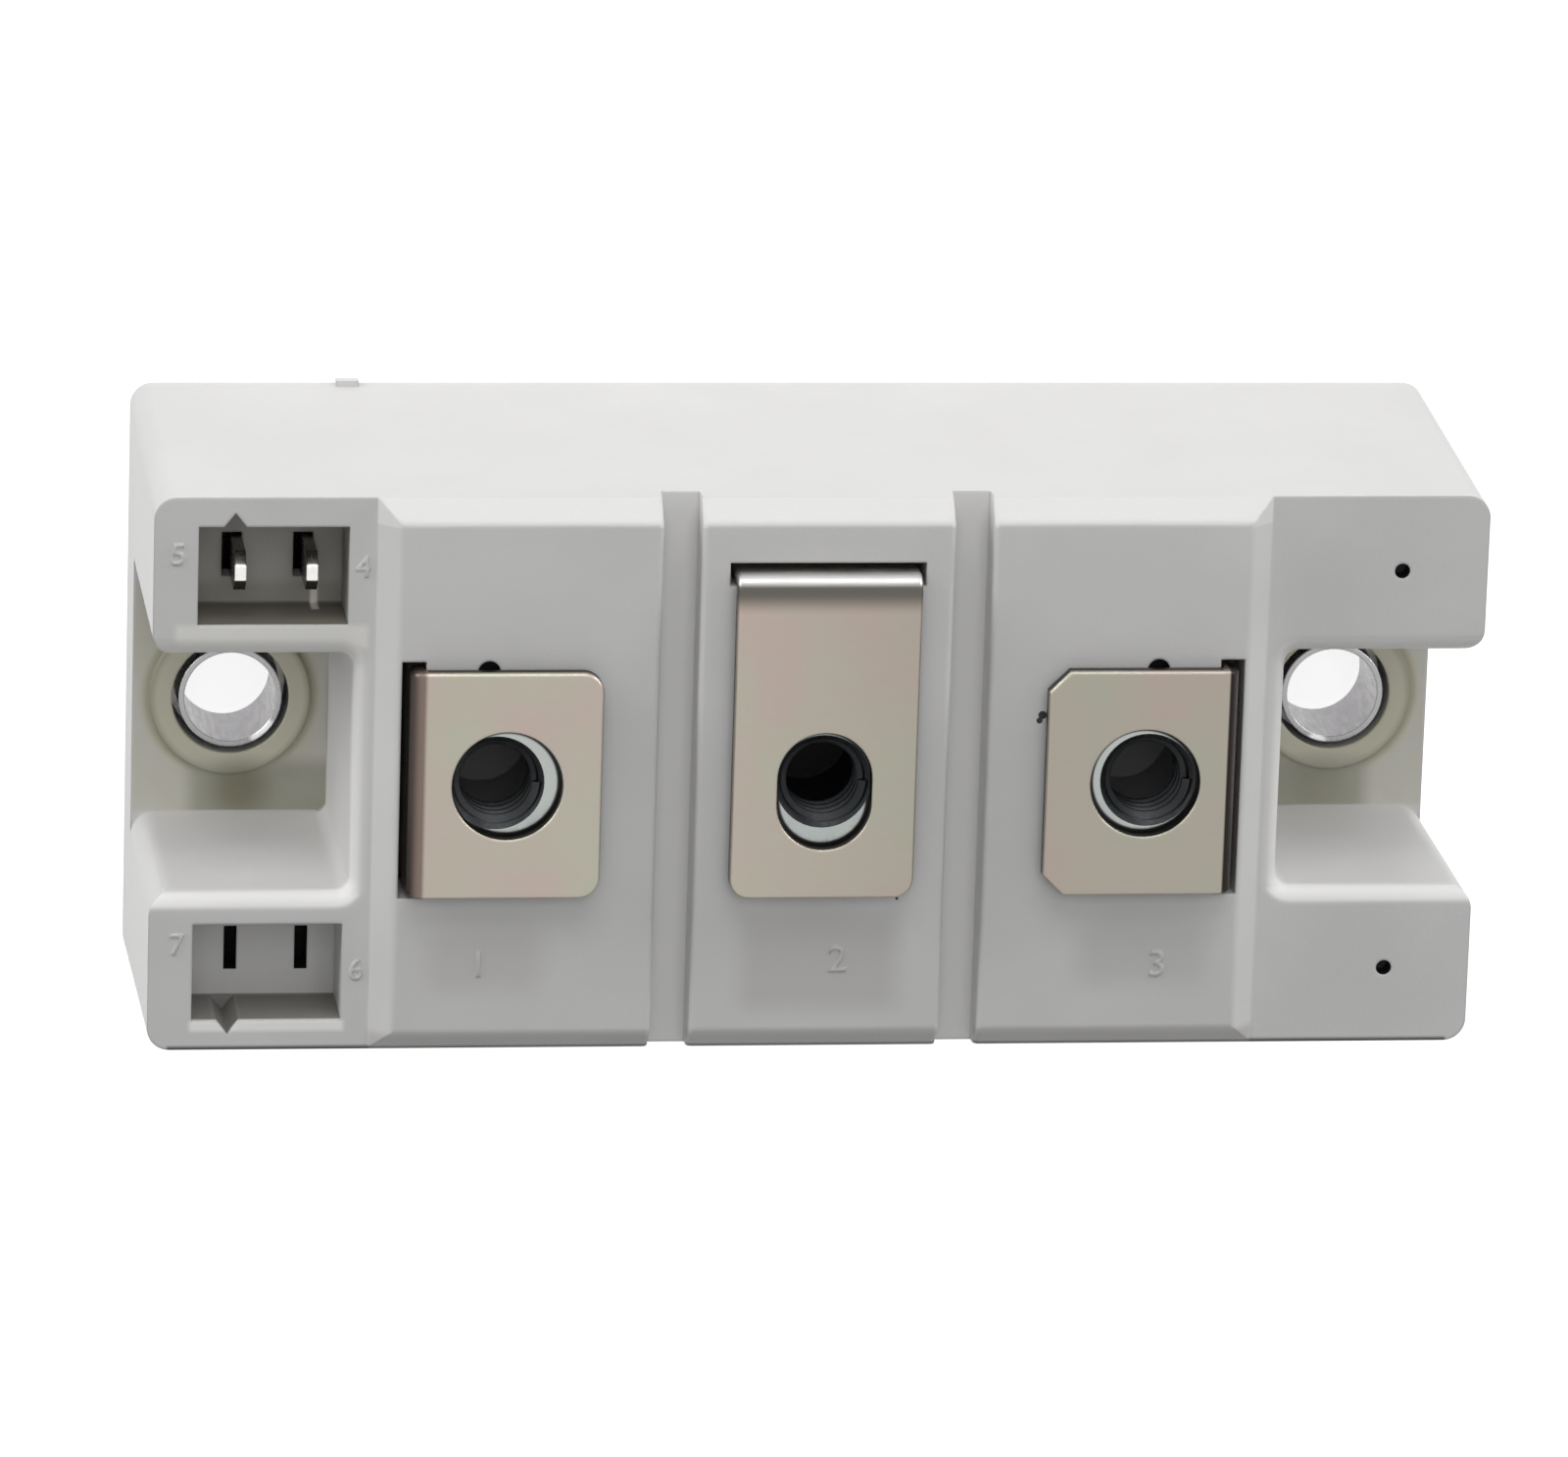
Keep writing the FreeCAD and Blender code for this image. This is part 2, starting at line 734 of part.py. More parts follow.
def seal_bead():
    """The cured adhesive between the base plate and the ledge of the case."""
    body = slab(
        "seal_bead",
        -PLATE_END,
        PLATE_END,
        -PLATE_SIDE,
        PLATE_SIDE,
        size("plate_thickness"),
        size("seal_thickness"),
    )
    room = new_sketch(body, "seal_room_outline", lift=LEDGE)
    draw_box(room, -ROOM_END, ROOM_END, -ROOM_SIDE, ROOM_SIDE)
    cut(body, room, "seal_room")
    towers = new_sketch(body, "seal_tower_outlines", lift=LEDGE)
    draw_room_outlines(towers, [1, -1])
    cut(body, towers, "seal_towers")
    holes = new_sketch(body, "seal_hole_outlines", lift=LEDGE)
    for side in (1, -1):
        draw_circle(holes, MOUNT * side, ZERO, SLEEVE_OUTER + size("ear_hole_gap") * 2)
    cut(body, holes, "seal_holes")
    return body


def mount_sleeve(name, side):
    """A tubular rivet: a flange in the base plate's seat and a thin tube."""
    body = new_body(name)
    profile = new_sketch(body, f"{name}_section", "XZ_Plane")
    bore = size("sleeve_bore") / 2
    outer = SLEEVE_OUTER / 2
    rim = size("flange_diameter") / 2
    bottom = size("flange_recess")
    shoulder = bottom + size("flange_thickness")
    draw_polygon(profile, [
        (bore, bottom),
        (rim, bottom),
        (rim, shoulder),
        (outer, shoulder),
        (outer, COLLAR_TOP),
        (bore, COLLAR_TOP),
    ])
    turned = body.newObject("PartDesign::Revolution", f"{name}_turned")
    turned.Profile = profile
    turned.ReferenceAxis = (profile, ["V_Axis"])
    turned.Angle = 360.0
    bind(body, "Placement.Base.x", MOUNT * side)
    doc.recompute()
    return body


def captive_nut(name, side):
    """A hexagon nut with bevelled corners, a plain bore and lead-ins."""
    body = new_body(name)
    outline = new_sketch(body, f"{name}_outline")
    draw_hexagon(outline, ZERO, ZERO, size("nut_flats"))
    pad(body, outline, f"{name}_blank", size("nut_height"))
    bore = new_sketch(body, f"{name}_bore_outline", lift=size("nut_height"))
    draw_circle(bore, ZERO, ZERO, size("nut_bore"))
    cut(body, bore, f"{name}_bore")
    mouths = [
        f"Edge{number}"
        for number, edge in enumerate(body.Shape.Edges, start=1)
        if len(edge.Vertexes) == 1
    ]
    dress(body, "Chamfer", f"{name}_lead_in", mouths, size("nut_lead_in"))

    flat = size("nut_flats") / 2
    beyond = size("nut_flats") / ROOT_OF_THREE + size("overshoot")
    drop = (beyond - flat) * CHAMFER_TANGENT
    bevel = new_sketch(body, f"{name}_bevel_section", "XZ_Plane")
    height = size("nut_height")
    draw_polygon(bevel, [(flat, height), (beyond, height), (beyond, height - drop)])
    draw_polygon(bevel, [(flat, ZERO), (beyond, drop), (beyond, ZERO)])
    groove = body.newObject("PartDesign::Groove", f"{name}_bevels")
    groove.Profile = bevel
    groove.ReferenceAxis = (bevel, ["V_Axis"])
    groove.Angle = 360.0
    bind(body, "Placement.Base.x", size("terminal_pitch") * side)
    bind(body, "Placement.Base.z", POCKET_FLOOR)
    doc.recompute()
    return body


def bent_section(sketch, tip, back, face, low, high):
    """One arm of a strap: a flat part from tip to the leg, and the leg down to low."""
    draw_polygon(sketch, [
        (tip, high),
        (face, high),
        (face, low),
        (back, low),
        (back, high - size("strap_thickness")),
        (tip, high - size("strap_thickness")),
    ])


def foot_section(sketch, toe, back, face, high):
    """The lower arm of a strap: the leg from high down, and the soldered foot."""
    draw_polygon(sketch, [
        (face, high),
        (face, PAD_TOP),
        (toe, PAD_TOP),
        (toe, PAD_TOP + size("strap_thickness")),
        (back, PAD_TOP + size("strap_thickness")),
        (back, high),
    ])


def round_bends(body, name, axis, place, back, face):
    """Round the bends of a strap at its top and at its foot."""
    inside = [STRAP_UNDERSIDE.number, (PAD_TOP + size("strap_thickness")).number]
    outside = [STRAP_TOP.number, PAD_TOP.number]
    back_edges = edges_at(
        body.Shape,
        axis,
        lambda p: near(place(p), back.number) and any(near(p.z, z) for z in inside),
    )
    dress(body, "Fillet", f"{name}_inner_bends", back_edges, size("strap_bend"))
    face_edges = edges_at(
        body.Shape,
        axis,
        lambda p: near(place(p), face.number) and any(near(p.z, z) for z in outside),
    )
    radius = size("strap_bend") + size("strap_thickness")
    dress(body, "Fillet", f"{name}_outer_bends", face_edges, radius)


def outer_strap(name, side, toe, hole_shift, corner_kind):
    """The left or right terminal: a holed plate, a leg at its outer end and a foot to its toe."""
    body = new_body(name)
    tip = (size("terminal_pitch") - size("outer_tip")) * side
    face = (size("terminal_pitch") + size("outer_leg")) * side
    back = (size("terminal_pitch") + size("outer_leg") - size("strap_thickness")) * side
    neck_level = DECK_UNDERSIDE - size("strap_neck_drop")
    width = size("outer_width")
    neck = size("outer_neck")

    upper = new_sketch(body, f"{name}_plate_section", "XZ_Plane", -width / 2)
    bent_section(upper, tip, back, face, neck_level, STRAP_TOP)
    pad(body, upper, f"{name}_plate", width)
    lower = new_sketch(body, f"{name}_foot_section", "XZ_Plane", -neck / 2)
    foot_section(lower, toe, back, face, neck_level)
    pad(body, lower, f"{name}_foot", neck)
    round_bends(body, name, "y", lambda p: p.x, back, face)

    corners = edges_at(body.Shape, "z", lambda p: near(p.x, tip.number))
    dress(body, corner_kind, f"{name}_corners", corners, size("outer_corner"))
    bend_start = (face - (size("strap_bend") + size("strap_thickness")) * side).number
    outline = level_edges(body.Shape, STRAP_TOP, lambda p: not near(p.x, bend_start))
    dress(body, "Fillet", f"{name}_outline_edges", outline, size("plate_rounding"))
    hole = new_sketch(body, f"{name}_hole_outline", lift=STRAP_TOP)
    hole_x = (size("terminal_pitch") - hole_shift) * side
    draw_circle(hole, hole_x, ZERO, size("outer_hole"))
    cut(body, hole, f"{name}_hole", size("strap_thickness") + size("overshoot"))
    mouth = hole_edges(body.Shape, STRAP_TOP, hole_x, ZERO, size("outer_hole") / 2)
    dress(body, "Fillet", f"{name}_hole_edge", mouth, size("hole_rounding"))
    return body


def middle_strap():
    """The middle terminal: a longer plate whose leg goes down at its +Y end."""
    name = "terminal_middle"
    body = new_body(name)
    tip = -size("middle_tip")
    face = MIDDLE_FACE
    back = face - size("strap_thickness")
    toe = face - size("middle_foot")
    neck_level = DECK_UNDERSIDE - size("strap_neck_drop")
    width = size("middle_width")
    neck = size("middle_neck")

    upper = new_sketch(body, f"{name}_plate_section", "YZ_Plane", -width / 2)
    bent_section(upper, tip, back, face, neck_level, STRAP_TOP)
    pad(body, upper, f"{name}_plate", width)
    lower = new_sketch(body, f"{name}_foot_section", "YZ_Plane", -neck / 2)
    foot_section(lower, toe, back, face, neck_level)
    pad(body, lower, f"{name}_foot", neck)
    round_bends(body, name, "x", lambda p: p.y, back, face)

    corners = edges_at(body.Shape, "z", lambda p: near(p.y, tip.number))
    dress(body, "Fillet", f"{name}_corners", corners, size("middle_corner"))
    bend_start = (face - size("strap_bend") - size("strap_thickness")).number
    outline = level_edges(body.Shape, STRAP_TOP, lambda p: not near(p.y, bend_start))
    dress(body, "Fillet", f"{name}_outline_edges", outline, size("plate_rounding"))
    middle = -size("middle_hole_shift")
    half_run = (size("middle_hole_length") - size("middle_hole")) / 2
    half_width = size("middle_hole") / 2
    ends = new_sketch(body, f"{name}_hole_ends", lift=STRAP_TOP)
    draw_circle(ends, ZERO, middle - half_run, size("middle_hole"))
    depth = size("strap_thickness") + size("overshoot")
    cut(body, ends, f"{name}_hole_low", depth)
    upper_end = new_sketch(body, f"{name}_hole_upper_end", lift=STRAP_TOP)
    draw_circle(upper_end, ZERO, middle + half_run, size("middle_hole"))
    cut(body, upper_end, f"{name}_hole_high", depth)
    run = new_sketch(body, f"{name}_hole_run", lift=STRAP_TOP)
    draw_box(run, -half_width, half_width, middle - half_run, middle + half_run)
    cut(body, run, f"{name}_hole_sides", depth)
    mouth = hole_edges(body.Shape, STRAP_TOP, ZERO, middle, size("middle_hole_length") / 2)
    dress(body, "Fillet", f"{name}_hole_edge", mouth, size("hole_rounding"))
    return body


def gate_tab(name, slot_x):
    """A flat pin with a pointed end, a shoulder under the socket floor and a tail."""
    body = new_body(name)
    x = slot_x + size("tab_shift")
    y = SOCKET_Y
    tip = SOCKET_BOTTOM + size("tab_height")
    half = size("tab_width") / 2
    point = size("tab_point")
    shoulder = size("tab_shoulder_width") / 2
    shoulder_end = TAB_CEILING - size("tab_shoulder_height")
    tail = size("tab_tail_width") / 2
    tail_end = shoulder_end - size("tab_tail_length")
    outline = new_sketch(body, f"{name}_outline", "YZ_Plane", x - size("tab_thickness") / 2)
    draw_polygon(outline, [
        (y - tail, tail_end),
        (y + tail, tail_end),
        (y + tail, shoulder_end),
        (y + shoulder, shoulder_end),
        (y + shoulder, TAB_CEILING),
        (y + half, TAB_CEILING),
        (y + half, tip - point),
        (y + half - point, tip),
        (y - half + point, tip),
        (y - half, tip - point),
        (y - half, TAB_CEILING),
        (y - shoulder, TAB_CEILING),
        (y - shoulder, shoulder_end),
        (y - tail, shoulder_end),
    ])
    pad(body, outline, f"{name}_blade", size("tab_thickness"))
    return body


def tile(label, side):
    """A ceramic tile with copper on its underside; its upper pads are made apart."""
    slab(
        f"tile_{label}_lower_copper",
        PAD_INNER * side,
        PAD_OUTER * side,
        -PAD_SIDE,
        PAD_SIDE,
        size("plate_thickness"),
        size("copper_thickness"),
    )
    slab(
        f"tile_{label}_ceramic",
        TILE_INNER * side,
        TILE_OUTER * side,
        -TILE_SIDE,
        TILE_SIDE,
        size("plate_thickness") + size("copper_thickness"),
        size("ceramic_thickness"),
    )


def copper_pads():
    """Four pads on top of the tiles: anode, common left, common right and cathode."""
    long_left = SHORT_PAD_LEFT + size("pad_gap")
    long_right = SHORT_PAD_RIGHT - size("pad_gap")
    for name, x_low, x_high in (
        ("pad_anode", -PAD_OUTER, -long_left),
        ("pad_common_left", -SHORT_PAD_LEFT, -PAD_INNER),
        ("pad_common_right", PAD_INNER, long_right),
        ("pad_cathode", SHORT_PAD_RIGHT, PAD_OUTER),
    ):
        slab(name, x_low, x_high, -PAD_SIDE, PAD_SIDE, PAD_BOTTOM, size("copper_thickness"))


def chip_places():
    """Middle of each chip along X, set back from the inner edge of its pad."""
    half = size("chip_size") / 2
    thyristor = -(SHORT_PAD_LEFT + size("pad_gap") + half + size("fit_gap"))
    diode = SHORT_PAD_RIGHT - size("pad_gap") - half - size("fit_gap")
    return thyristor, diode


def chips():
    half = size("chip_size") / 2
    for name, x in zip(("thyristor_chip", "diode_chip"), chip_places()):
        y = -size("chip_offset")
        slab(name, x - half, x + half, y - half, y + half, PAD_TOP, size("chip_thickness"))


def clip(name, chip_x, foot_near):
    """A copper bridge from the top of a chip to the next pad, to the chip's right."""
    body = new_body(name)
    width = size("clip_width")
    thickness = size("clip_thickness")
    start = chip_x - size("clip_contact") / 2
    rise = chip_x + size("clip_contact") / 2
    top = CHIP_TOP + size("clip_rise")
    foot_end = foot_near + size("clip_foot")
    y = -size("chip_offset") - size("clip_shift")
    section = new_sketch(body, f"{name}_section", "XZ_Plane", -y - width / 2)
    draw_polygon(section, [
        (start, CHIP_TOP),
        (rise, CHIP_TOP),
        (rise, top - thickness),
        (foot_near - thickness, top - thickness),
        (foot_near - thickness, PAD_TOP),
        (foot_end, PAD_TOP),
        (foot_end, PAD_TOP + thickness),
        (foot_near, PAD_TOP + thickness),
        (foot_near, top),
        (rise - thickness, top),
        (rise - thickness, CHIP_TOP + thickness),
        (start, CHIP_TOP + thickness),
    ])
    pad(body, section, f"{name}_strip", width)
    return body


def lead_route(points, radius):
    """Straight runs through the points with an arc of one radius at each turn."""
    edges = []
    start = points[0]
    for index in range(1, len(points) - 1):
        corner = points[index]
        arriving = (corner - points[index - 1]).normalize()
        leaving = (points[index + 1] - corner).normalize()
        half_turn = arriving.getAngle(leaving) / 2
        setback = radius * math.tan(half_turn)
        arc_start = corner - arriving * setback
        arc_end = corner + leaving * setback
        inward = (leaving - arriving).normalize()
        arc_middle = corner + inward * (radius / math.cos(half_turn) - radius)
        edges.append(Part.LineSegment(start, arc_start).toShape())
        edges.append(Part.Arc(arc_start, arc_middle, arc_end).toShape())
        start = arc_end
    edges.append(Part.LineSegment(start, points[-1]).toShape())
    return Part.Wire(edges)


def lead_section(start, radius):
    """An eight-sided outline in place of the round one, which keeps the faces few."""
    corners = []
    for index in range(LEAD_SIDES):
        turn = 2 * math.pi * (index + 0.5) / LEAD_SIDES
        corners.append(start + FreeCAD.Vector(math.cos(turn), math.sin(turn), 0) * radius)
    return Part.makePolygon(corners + corners[:1])


def lead(name, spans):
    """An insulated wire from the tail of a gate tab down to its contact."""
    points = [FreeCAD.Vector(x.number, y.number, z.number) for x, y, z in spans]
    route = lead_route(points, SIZES["lead_bend"])
    radius = SIZES["lead_diameter"] / 2
    ring = lead_section(points[0], radius)
    item = doc.addObject("Part::Feature", name)
    item.Label = name
    item.Shape = route.makePipeShell([ring], True, False)
    finished.append(item)
    return item


def gate_leads():
    """The gate lead ends on the thyristor chip, the other lead on its clip."""
    thyristor, _ = chip_places()
    half = size("chip_size") / 2
    y_tab = SOCKET_Y
    tail_end = TAB_CEILING - size("tab_shoulder_height") - size("tab_tail_length")
    gate_x = thyristor - half + size("gate_inset")
    gate_y = half - size("chip_offset") - size("gate_inset")
    tab_x = TAB_SLOTS[0] + size("tab_shift")
    level = size("gate_level")
    lead("gate_lead", [
        (tab_x, y_tab, tail_end),
        (tab_x, y_tab, level),
        (gate_x, y_tab, level),
        (gate_x, gate_y, level),
        (gate_x, gate_y, CHIP_TOP),
    ])
    tab_x = TAB_SLOTS[1] + size("tab_shift")
    level = size("cathode_level")
    cathode_x = thyristor + size("cathode_inset")
    cathode_y = -size("chip_offset") - size("clip_shift")
    lead("cathode_lead", [
        (tab_x, y_tab, tail_end),
        (tab_x, y_tab, level),
        (cathode_x, y_tab, level),
        (cathode_x, cathode_y, level),
        (cathode_x, cathode_y, CHIP_TOP + size("clip_thickness")),
    ])


def room_block(bottom, top):
    """The part of the case's inner room between two levels, as one solid."""
    height = top - bottom
    base = FreeCAD.Vector(-ROOM_END.number, -ROOM_SIDE.number, bottom)
    block = Part.makeBox(2 * ROOM_END.number, 2 * ROOM_SIDE.number, height, base)
    depth = ROOM_SIDE.number - TOWER_ROOM_SIDE.number
    reach = TOWER_ROOM_END.number - ROOM_END.number
    towers = []
    for x in (ROOM_END.number, -TOWER_ROOM_END.number):
        for y in (TOWER_ROOM_SIDE.number, -ROOM_SIDE.number):
            corner = FreeCAD.Vector(x, y, bottom)
            towers.append(Part.makeBox(reach, depth, height, corner))
    return block.multiFuse(towers).removeSplitter()


def fillings():
    """Soft gel over the chips and hard resin over the gel, cast round all that is in them."""
    inner = [item.Shape for item in finished if item.Label not in ("housing", "base_plate")]
    levels = (
        ("silicone_gel", SIZES["plate_thickness"], SIZES["gel_top"]),
        ("casting_resin", SIZES["gel_top"], SIZES["resin_top"]),
    )
    for name, bottom, top in levels:
        block = room_block(bottom, top)
        reached = [shape for shape in inner if shape.BoundBox.intersect(block.BoundBox)]
        item = doc.addObject("Part::Feature", name)
        item.Label = name
        item.Shape = block.cut(reached)
        finished.append(item)


def build():
    housing()
    base_plate()
    seal_bead()
    for label, side in (("left", -1), ("right", 1)):
        mount_sleeve(f"mount_sleeve_{label}", side)
        tile(label, side)
    copper_pads()
    chips()
    thyristor, diode = chip_places()
    clip("clip_left", thyristor, -SHORT_PAD_LEFT + size("clip_pad_inset"))
    right_foot = SHORT_PAD_RIGHT + size("clip_thickness") + size("fit_gap")
    clip("clip_right", diode, right_foot)
    left_toe = thyristor - size("chip_size") / 2 - size("foot_chip_gap")
    right_toe = right_foot + size("clip_foot") + size("foot_clip_gap")
    outer_strap("terminal_left", -1, left_toe, size("left_hole_shift"), "Fillet")
    middle_strap()
    outer_strap("terminal_right", 1, right_toe, size("right_hole_shift"), "Chamfer")
    for label, side in (("left", -1), ("middle", 0), ("right", 1)):
        captive_nut(f"nut_{label}", side)
    gate_tab("gate_tab", TAB_SLOTS[0])
    gate_tab("cathode_tab", TAB_SLOTS[1])
    gate_leads()
    fillings()
    doc.recompute()


def solid_of(item):
    """The one solid of a finished piece, or a plain error that names the piece."""
    shape = item.Shape
    if shape.isNull() or not shape.isValid() or len(shape.Solids) != 1:
        raise RuntimeError(f"{item.Label} isn't one valid solid")
    return shape.Solids[0]


def write_parts():
    for item in doc.Objects:
        if "Invalid" in item.State or "Error" in item.State:
            raise RuntimeError(f"{item.Label} failed to build")
    os.makedirs("parts", exist_ok=True)
    for item in finished:
        solid = solid_of(item)
        solid.exportStep(os.path.join("parts", f"{item.Label}.step"))
        box = solid.BoundBox
        print(f"{item.Label}: {solid.Volume:.1f} mm3, "
              f"X {box.XMin:.2f} {box.XMax:.2f}, Y {box.YMin:.2f} {box.YMax:.2f}, "
              f"Z {box.ZMin:.2f} {box.ZMax:.2f}")


build()
write_parts()
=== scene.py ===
# %% [markdown]
# # A diode and thyristor module
#
# The module is a flat moulded case on a metal plate. Three bent straps lie on its deck with a nut
# under each, and two flat tabs stand in a socket at one end. The frame brings those pieces in as
# solids. This lesson dresses them: it rounds their edges, gives each a finish, cuts threads in the
# nuts, adds the raised numbers and sets up a plain studio with the photograph's camera.

import math

import bmesh
import bpy
from mathutils import Matrix, Vector


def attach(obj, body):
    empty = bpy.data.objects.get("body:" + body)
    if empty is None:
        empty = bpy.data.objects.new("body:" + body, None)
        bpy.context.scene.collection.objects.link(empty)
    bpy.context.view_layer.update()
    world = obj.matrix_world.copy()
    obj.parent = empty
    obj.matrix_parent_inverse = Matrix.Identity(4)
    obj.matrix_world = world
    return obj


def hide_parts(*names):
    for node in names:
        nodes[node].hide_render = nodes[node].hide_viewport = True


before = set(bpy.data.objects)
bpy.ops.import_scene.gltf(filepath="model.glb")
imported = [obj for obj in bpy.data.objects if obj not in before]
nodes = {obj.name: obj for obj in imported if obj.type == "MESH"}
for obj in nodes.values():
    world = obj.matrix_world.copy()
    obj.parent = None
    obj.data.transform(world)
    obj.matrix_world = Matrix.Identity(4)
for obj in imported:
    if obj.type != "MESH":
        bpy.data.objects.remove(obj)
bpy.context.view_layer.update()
MM = 0.001

# %% [markdown]
# ## The camera
#
# The camera comes first, because every later choice is judged through it. It looks down on the
# deck from a long way off, leaning a little towards the long side with the gate tabs and towards
# the socket end, so that both of those walls show. A long lens from far away keeps the sides
# nearly parallel, as in the photograph. The three turns and the shift were fitted to the holes
# and corners that the photograph shows.

# %% Place the camera
LENS = 243.97
LEAN_TO_LONG_SIDE = math.radians(16.07)
LEAN_TO_SOCKET_END = math.radians(7.18)
ROLL = math.radians(0.235)
MODULE_FROM_CAMERA = Vector((-0.845, 4.47, -772.6)) * MM

camera_data = bpy.data.cameras.new("studio_camera")
camera_data.lens = LENS
camera_data.sensor_width = 36.0
camera_data.clip_end = 10.0
camera = bpy.data.objects.new("studio_camera", camera_data)
bpy.context.collection.objects.link(camera)
turn = (
    Matrix.Rotation(ROLL, 4, "Z")
    @ Matrix.Rotation(LEAN_TO_SOCKET_END, 4, "Y")
    @ Matrix.Rotation(LEAN_TO_LONG_SIDE, 4, "X")
)
camera.matrix_world = (Matrix.Translation(MODULE_FROM_CAMERA) @ turn).inverted()
bpy.context.scene.camera = camera
print("camera stands at", [round(v, 3) for v in camera.matrix_world.translation])

# %% [markdown]
# ## Helpers for finishes
#
# Every finish is made of the same few steps: a noise of some grain, a colour that drifts between
# two tones, a roughness that drifts with it, and a bump. Each material could be wired by hand, but
# short helpers keep the recipes readable. Object coordinates are in metres, so the helpers take the
# width of a blotch in millimetres and turn it into a scale.

# %% Start a material and a noise
def start_finish(name, metallic):
    material = bpy.data.materials.new(name)
    material.use_nodes = True
    tree = material.node_tree
    shader = tree.nodes["Principled BSDF"]
    shader.inputs["Metallic"].default_value = metallic
    place = tree.nodes.new("ShaderNodeTexCoord").outputs["Object"]
    return material, tree, shader, place


def grain(tree, place, width, detail=3.0, stretch=(1.0, 1.0, 1.0)):
    """A noise whose blotches are about this many millimetres wide."""
    mapping = tree.nodes.new("ShaderNodeMapping")
    mapping.inputs["Scale"].default_value = [part / (width * MM) for part in stretch]
    noise = tree.nodes.new("ShaderNodeTexNoise")
    noise.inputs["Scale"].default_value = 1.0
    noise.inputs["Detail"].default_value = detail
    tree.links.new(place, mapping.inputs["Vector"])
    tree.links.new(mapping.outputs["Vector"], noise.inputs["Vector"])
    return noise.outputs["Fac"]


print("a material starts with", start_finish.__name__, "and a noise with", grain.__name__)


# %% Turn a noise into a colour, a value or a bump
def drift_colour(tree, factor, first, second, low=0.35, high=0.65):
    """The first tone where the factor is low, the second where it is high."""
    ramp = tree.nodes.new("ShaderNodeValToRGB")
    ramp.color_ramp.elements[0].position = low
    ramp.color_ramp.elements[1].position = high
    ramp.color_ramp.elements[0].color = (*first, 1.0)
    ramp.color_ramp.elements[1].color = (*second, 1.0)
    tree.links.new(factor, ramp.inputs["Fac"])
    return ramp.outputs["Color"]


def drift_value(tree, factor, first, second, low=0.3, high=0.7):
    """The first value where the factor is low, the second where it is high."""
    spread = tree.nodes.new("ShaderNodeMapRange")
    spread.inputs["From Min"].default_value = low
    spread.inputs["From Max"].default_value = high
    spread.inputs["To Min"].default_value = first
    spread.inputs["To Max"].default_value = second
    tree.links.new(factor, spread.inputs["Value"])
    return spread.outputs["Result"]


def add_bump(tree, shader, height, depth, under=None):
    """Raises the surface by this many millimetres where the height is 1."""
    bump = tree.nodes.new("ShaderNodeBump")
    bump.inputs["Distance"].default_value = depth * MM
    tree.links.new(height, bump.inputs["Height"])
    if under is not None:
        tree.links.new(under, bump.inputs["Normal"])
    tree.links.new(bump.outputs["Normal"], shader.inputs["Normal"])


def soft_edge(tree, radius):
    """A normal that turns over each edge with this radius in millimetres."""
    edge = tree.nodes.new("ShaderNodeBevel")
    edge.samples = 6
    edge.inputs["Radius"].default_value = radius * MM
    return edge.outputs["Normal"]


print("four steps turn a noise into a colour, a value, a bump and a soft edge")

# %% [markdown]
# ## The moulded case
#
# The case is a filled polyester moulding in light neutral grey. Its surface is matt with a very
# fine grain from the mould, and its tone drifts a little where the filler lies closer to the skin.
# Two noises do that: a broad one for the tone and a fine one for the grain.
#
# Painted light and shade, and a little dust, lie on top of it. They could be painted into a
# texture, but the finish has to stay with the solid at any size, so each mark is a mask over a
# place in the case: a box or a circle with soft borders, in the module's own frame.

# %% Steps that masks are made of
def axis(tree, place, name):
    """One of the three coordinates."""
    split = tree.nodes.new("ShaderNodeSeparateXYZ")
    tree.links.new(place, split.inputs["Vector"])
    return split.outputs[name]


def calculate(tree, operation, *values):
    """One step of arithmetic on numbers and sockets."""
    step = tree.nodes.new("ShaderNodeMath")
    step.operation = operation
    for socket, value in zip(step.inputs, values):
        if isinstance(value, (int, float)):
            socket.default_value = value
        else:
            tree.links.new(value, socket)
    return step.outputs["Value"]


def below(tree, value, limit, soft):
    """1 where the value is under the limit in millimetres, fading to 0 over the soft width."""
    fade = tree.nodes.new("ShaderNodeMapRange")
    fade.interpolation_type = "SMOOTHSTEP"
    fade.inputs["From Min"].default_value = (limit - soft / 2) * MM
    fade.inputs["From Max"].default_value = (limit + soft / 2) * MM
    fade.inputs["To Min"].default_value = 1.0
    fade.inputs["To Max"].default_value = 0.0
    tree.links.new(value, fade.inputs["Value"])
    return fade.outputs["Result"]


print("masks are made of", [step.__name__ for step in (axis, calculate, below)])


# %% Masks over places
def box_mask(tree, place, low, high, soft=0.1):
    """1 inside a box with these corners in millimetres."""
    mask = 1.0
    for name, start, end in zip("XYZ", low, high):
        offset = calculate(tree, "SUBTRACT", axis(tree, place, name), (start + end) / 2 * MM)
        side = below(tree, calculate(tree, "ABSOLUTE", offset), (end - start) / 2, soft)
        mask = calculate(tree, "MULTIPLY", side, mask)
    return mask


def distance_from(tree, place, x, y, half_run=0.0):
    """How far each point is from an upright line, or from a wall along Y, in metres."""
    across = calculate(tree, "SUBTRACT", axis(tree, place, "X"), x * MM)
    along = calculate(tree, "ABSOLUTE", calculate(tree, "SUBTRACT", axis(tree, place, "Y"), y * MM))
    beyond = calculate(tree, "MAXIMUM", calculate(tree, "SUBTRACT", along, half_run * MM), 0.0)
    square = calculate(tree, "MULTIPLY", across, across)
    return calculate(tree, "SQRT", calculate(tree, "MULTIPLY_ADD", beyond, beyond, square))


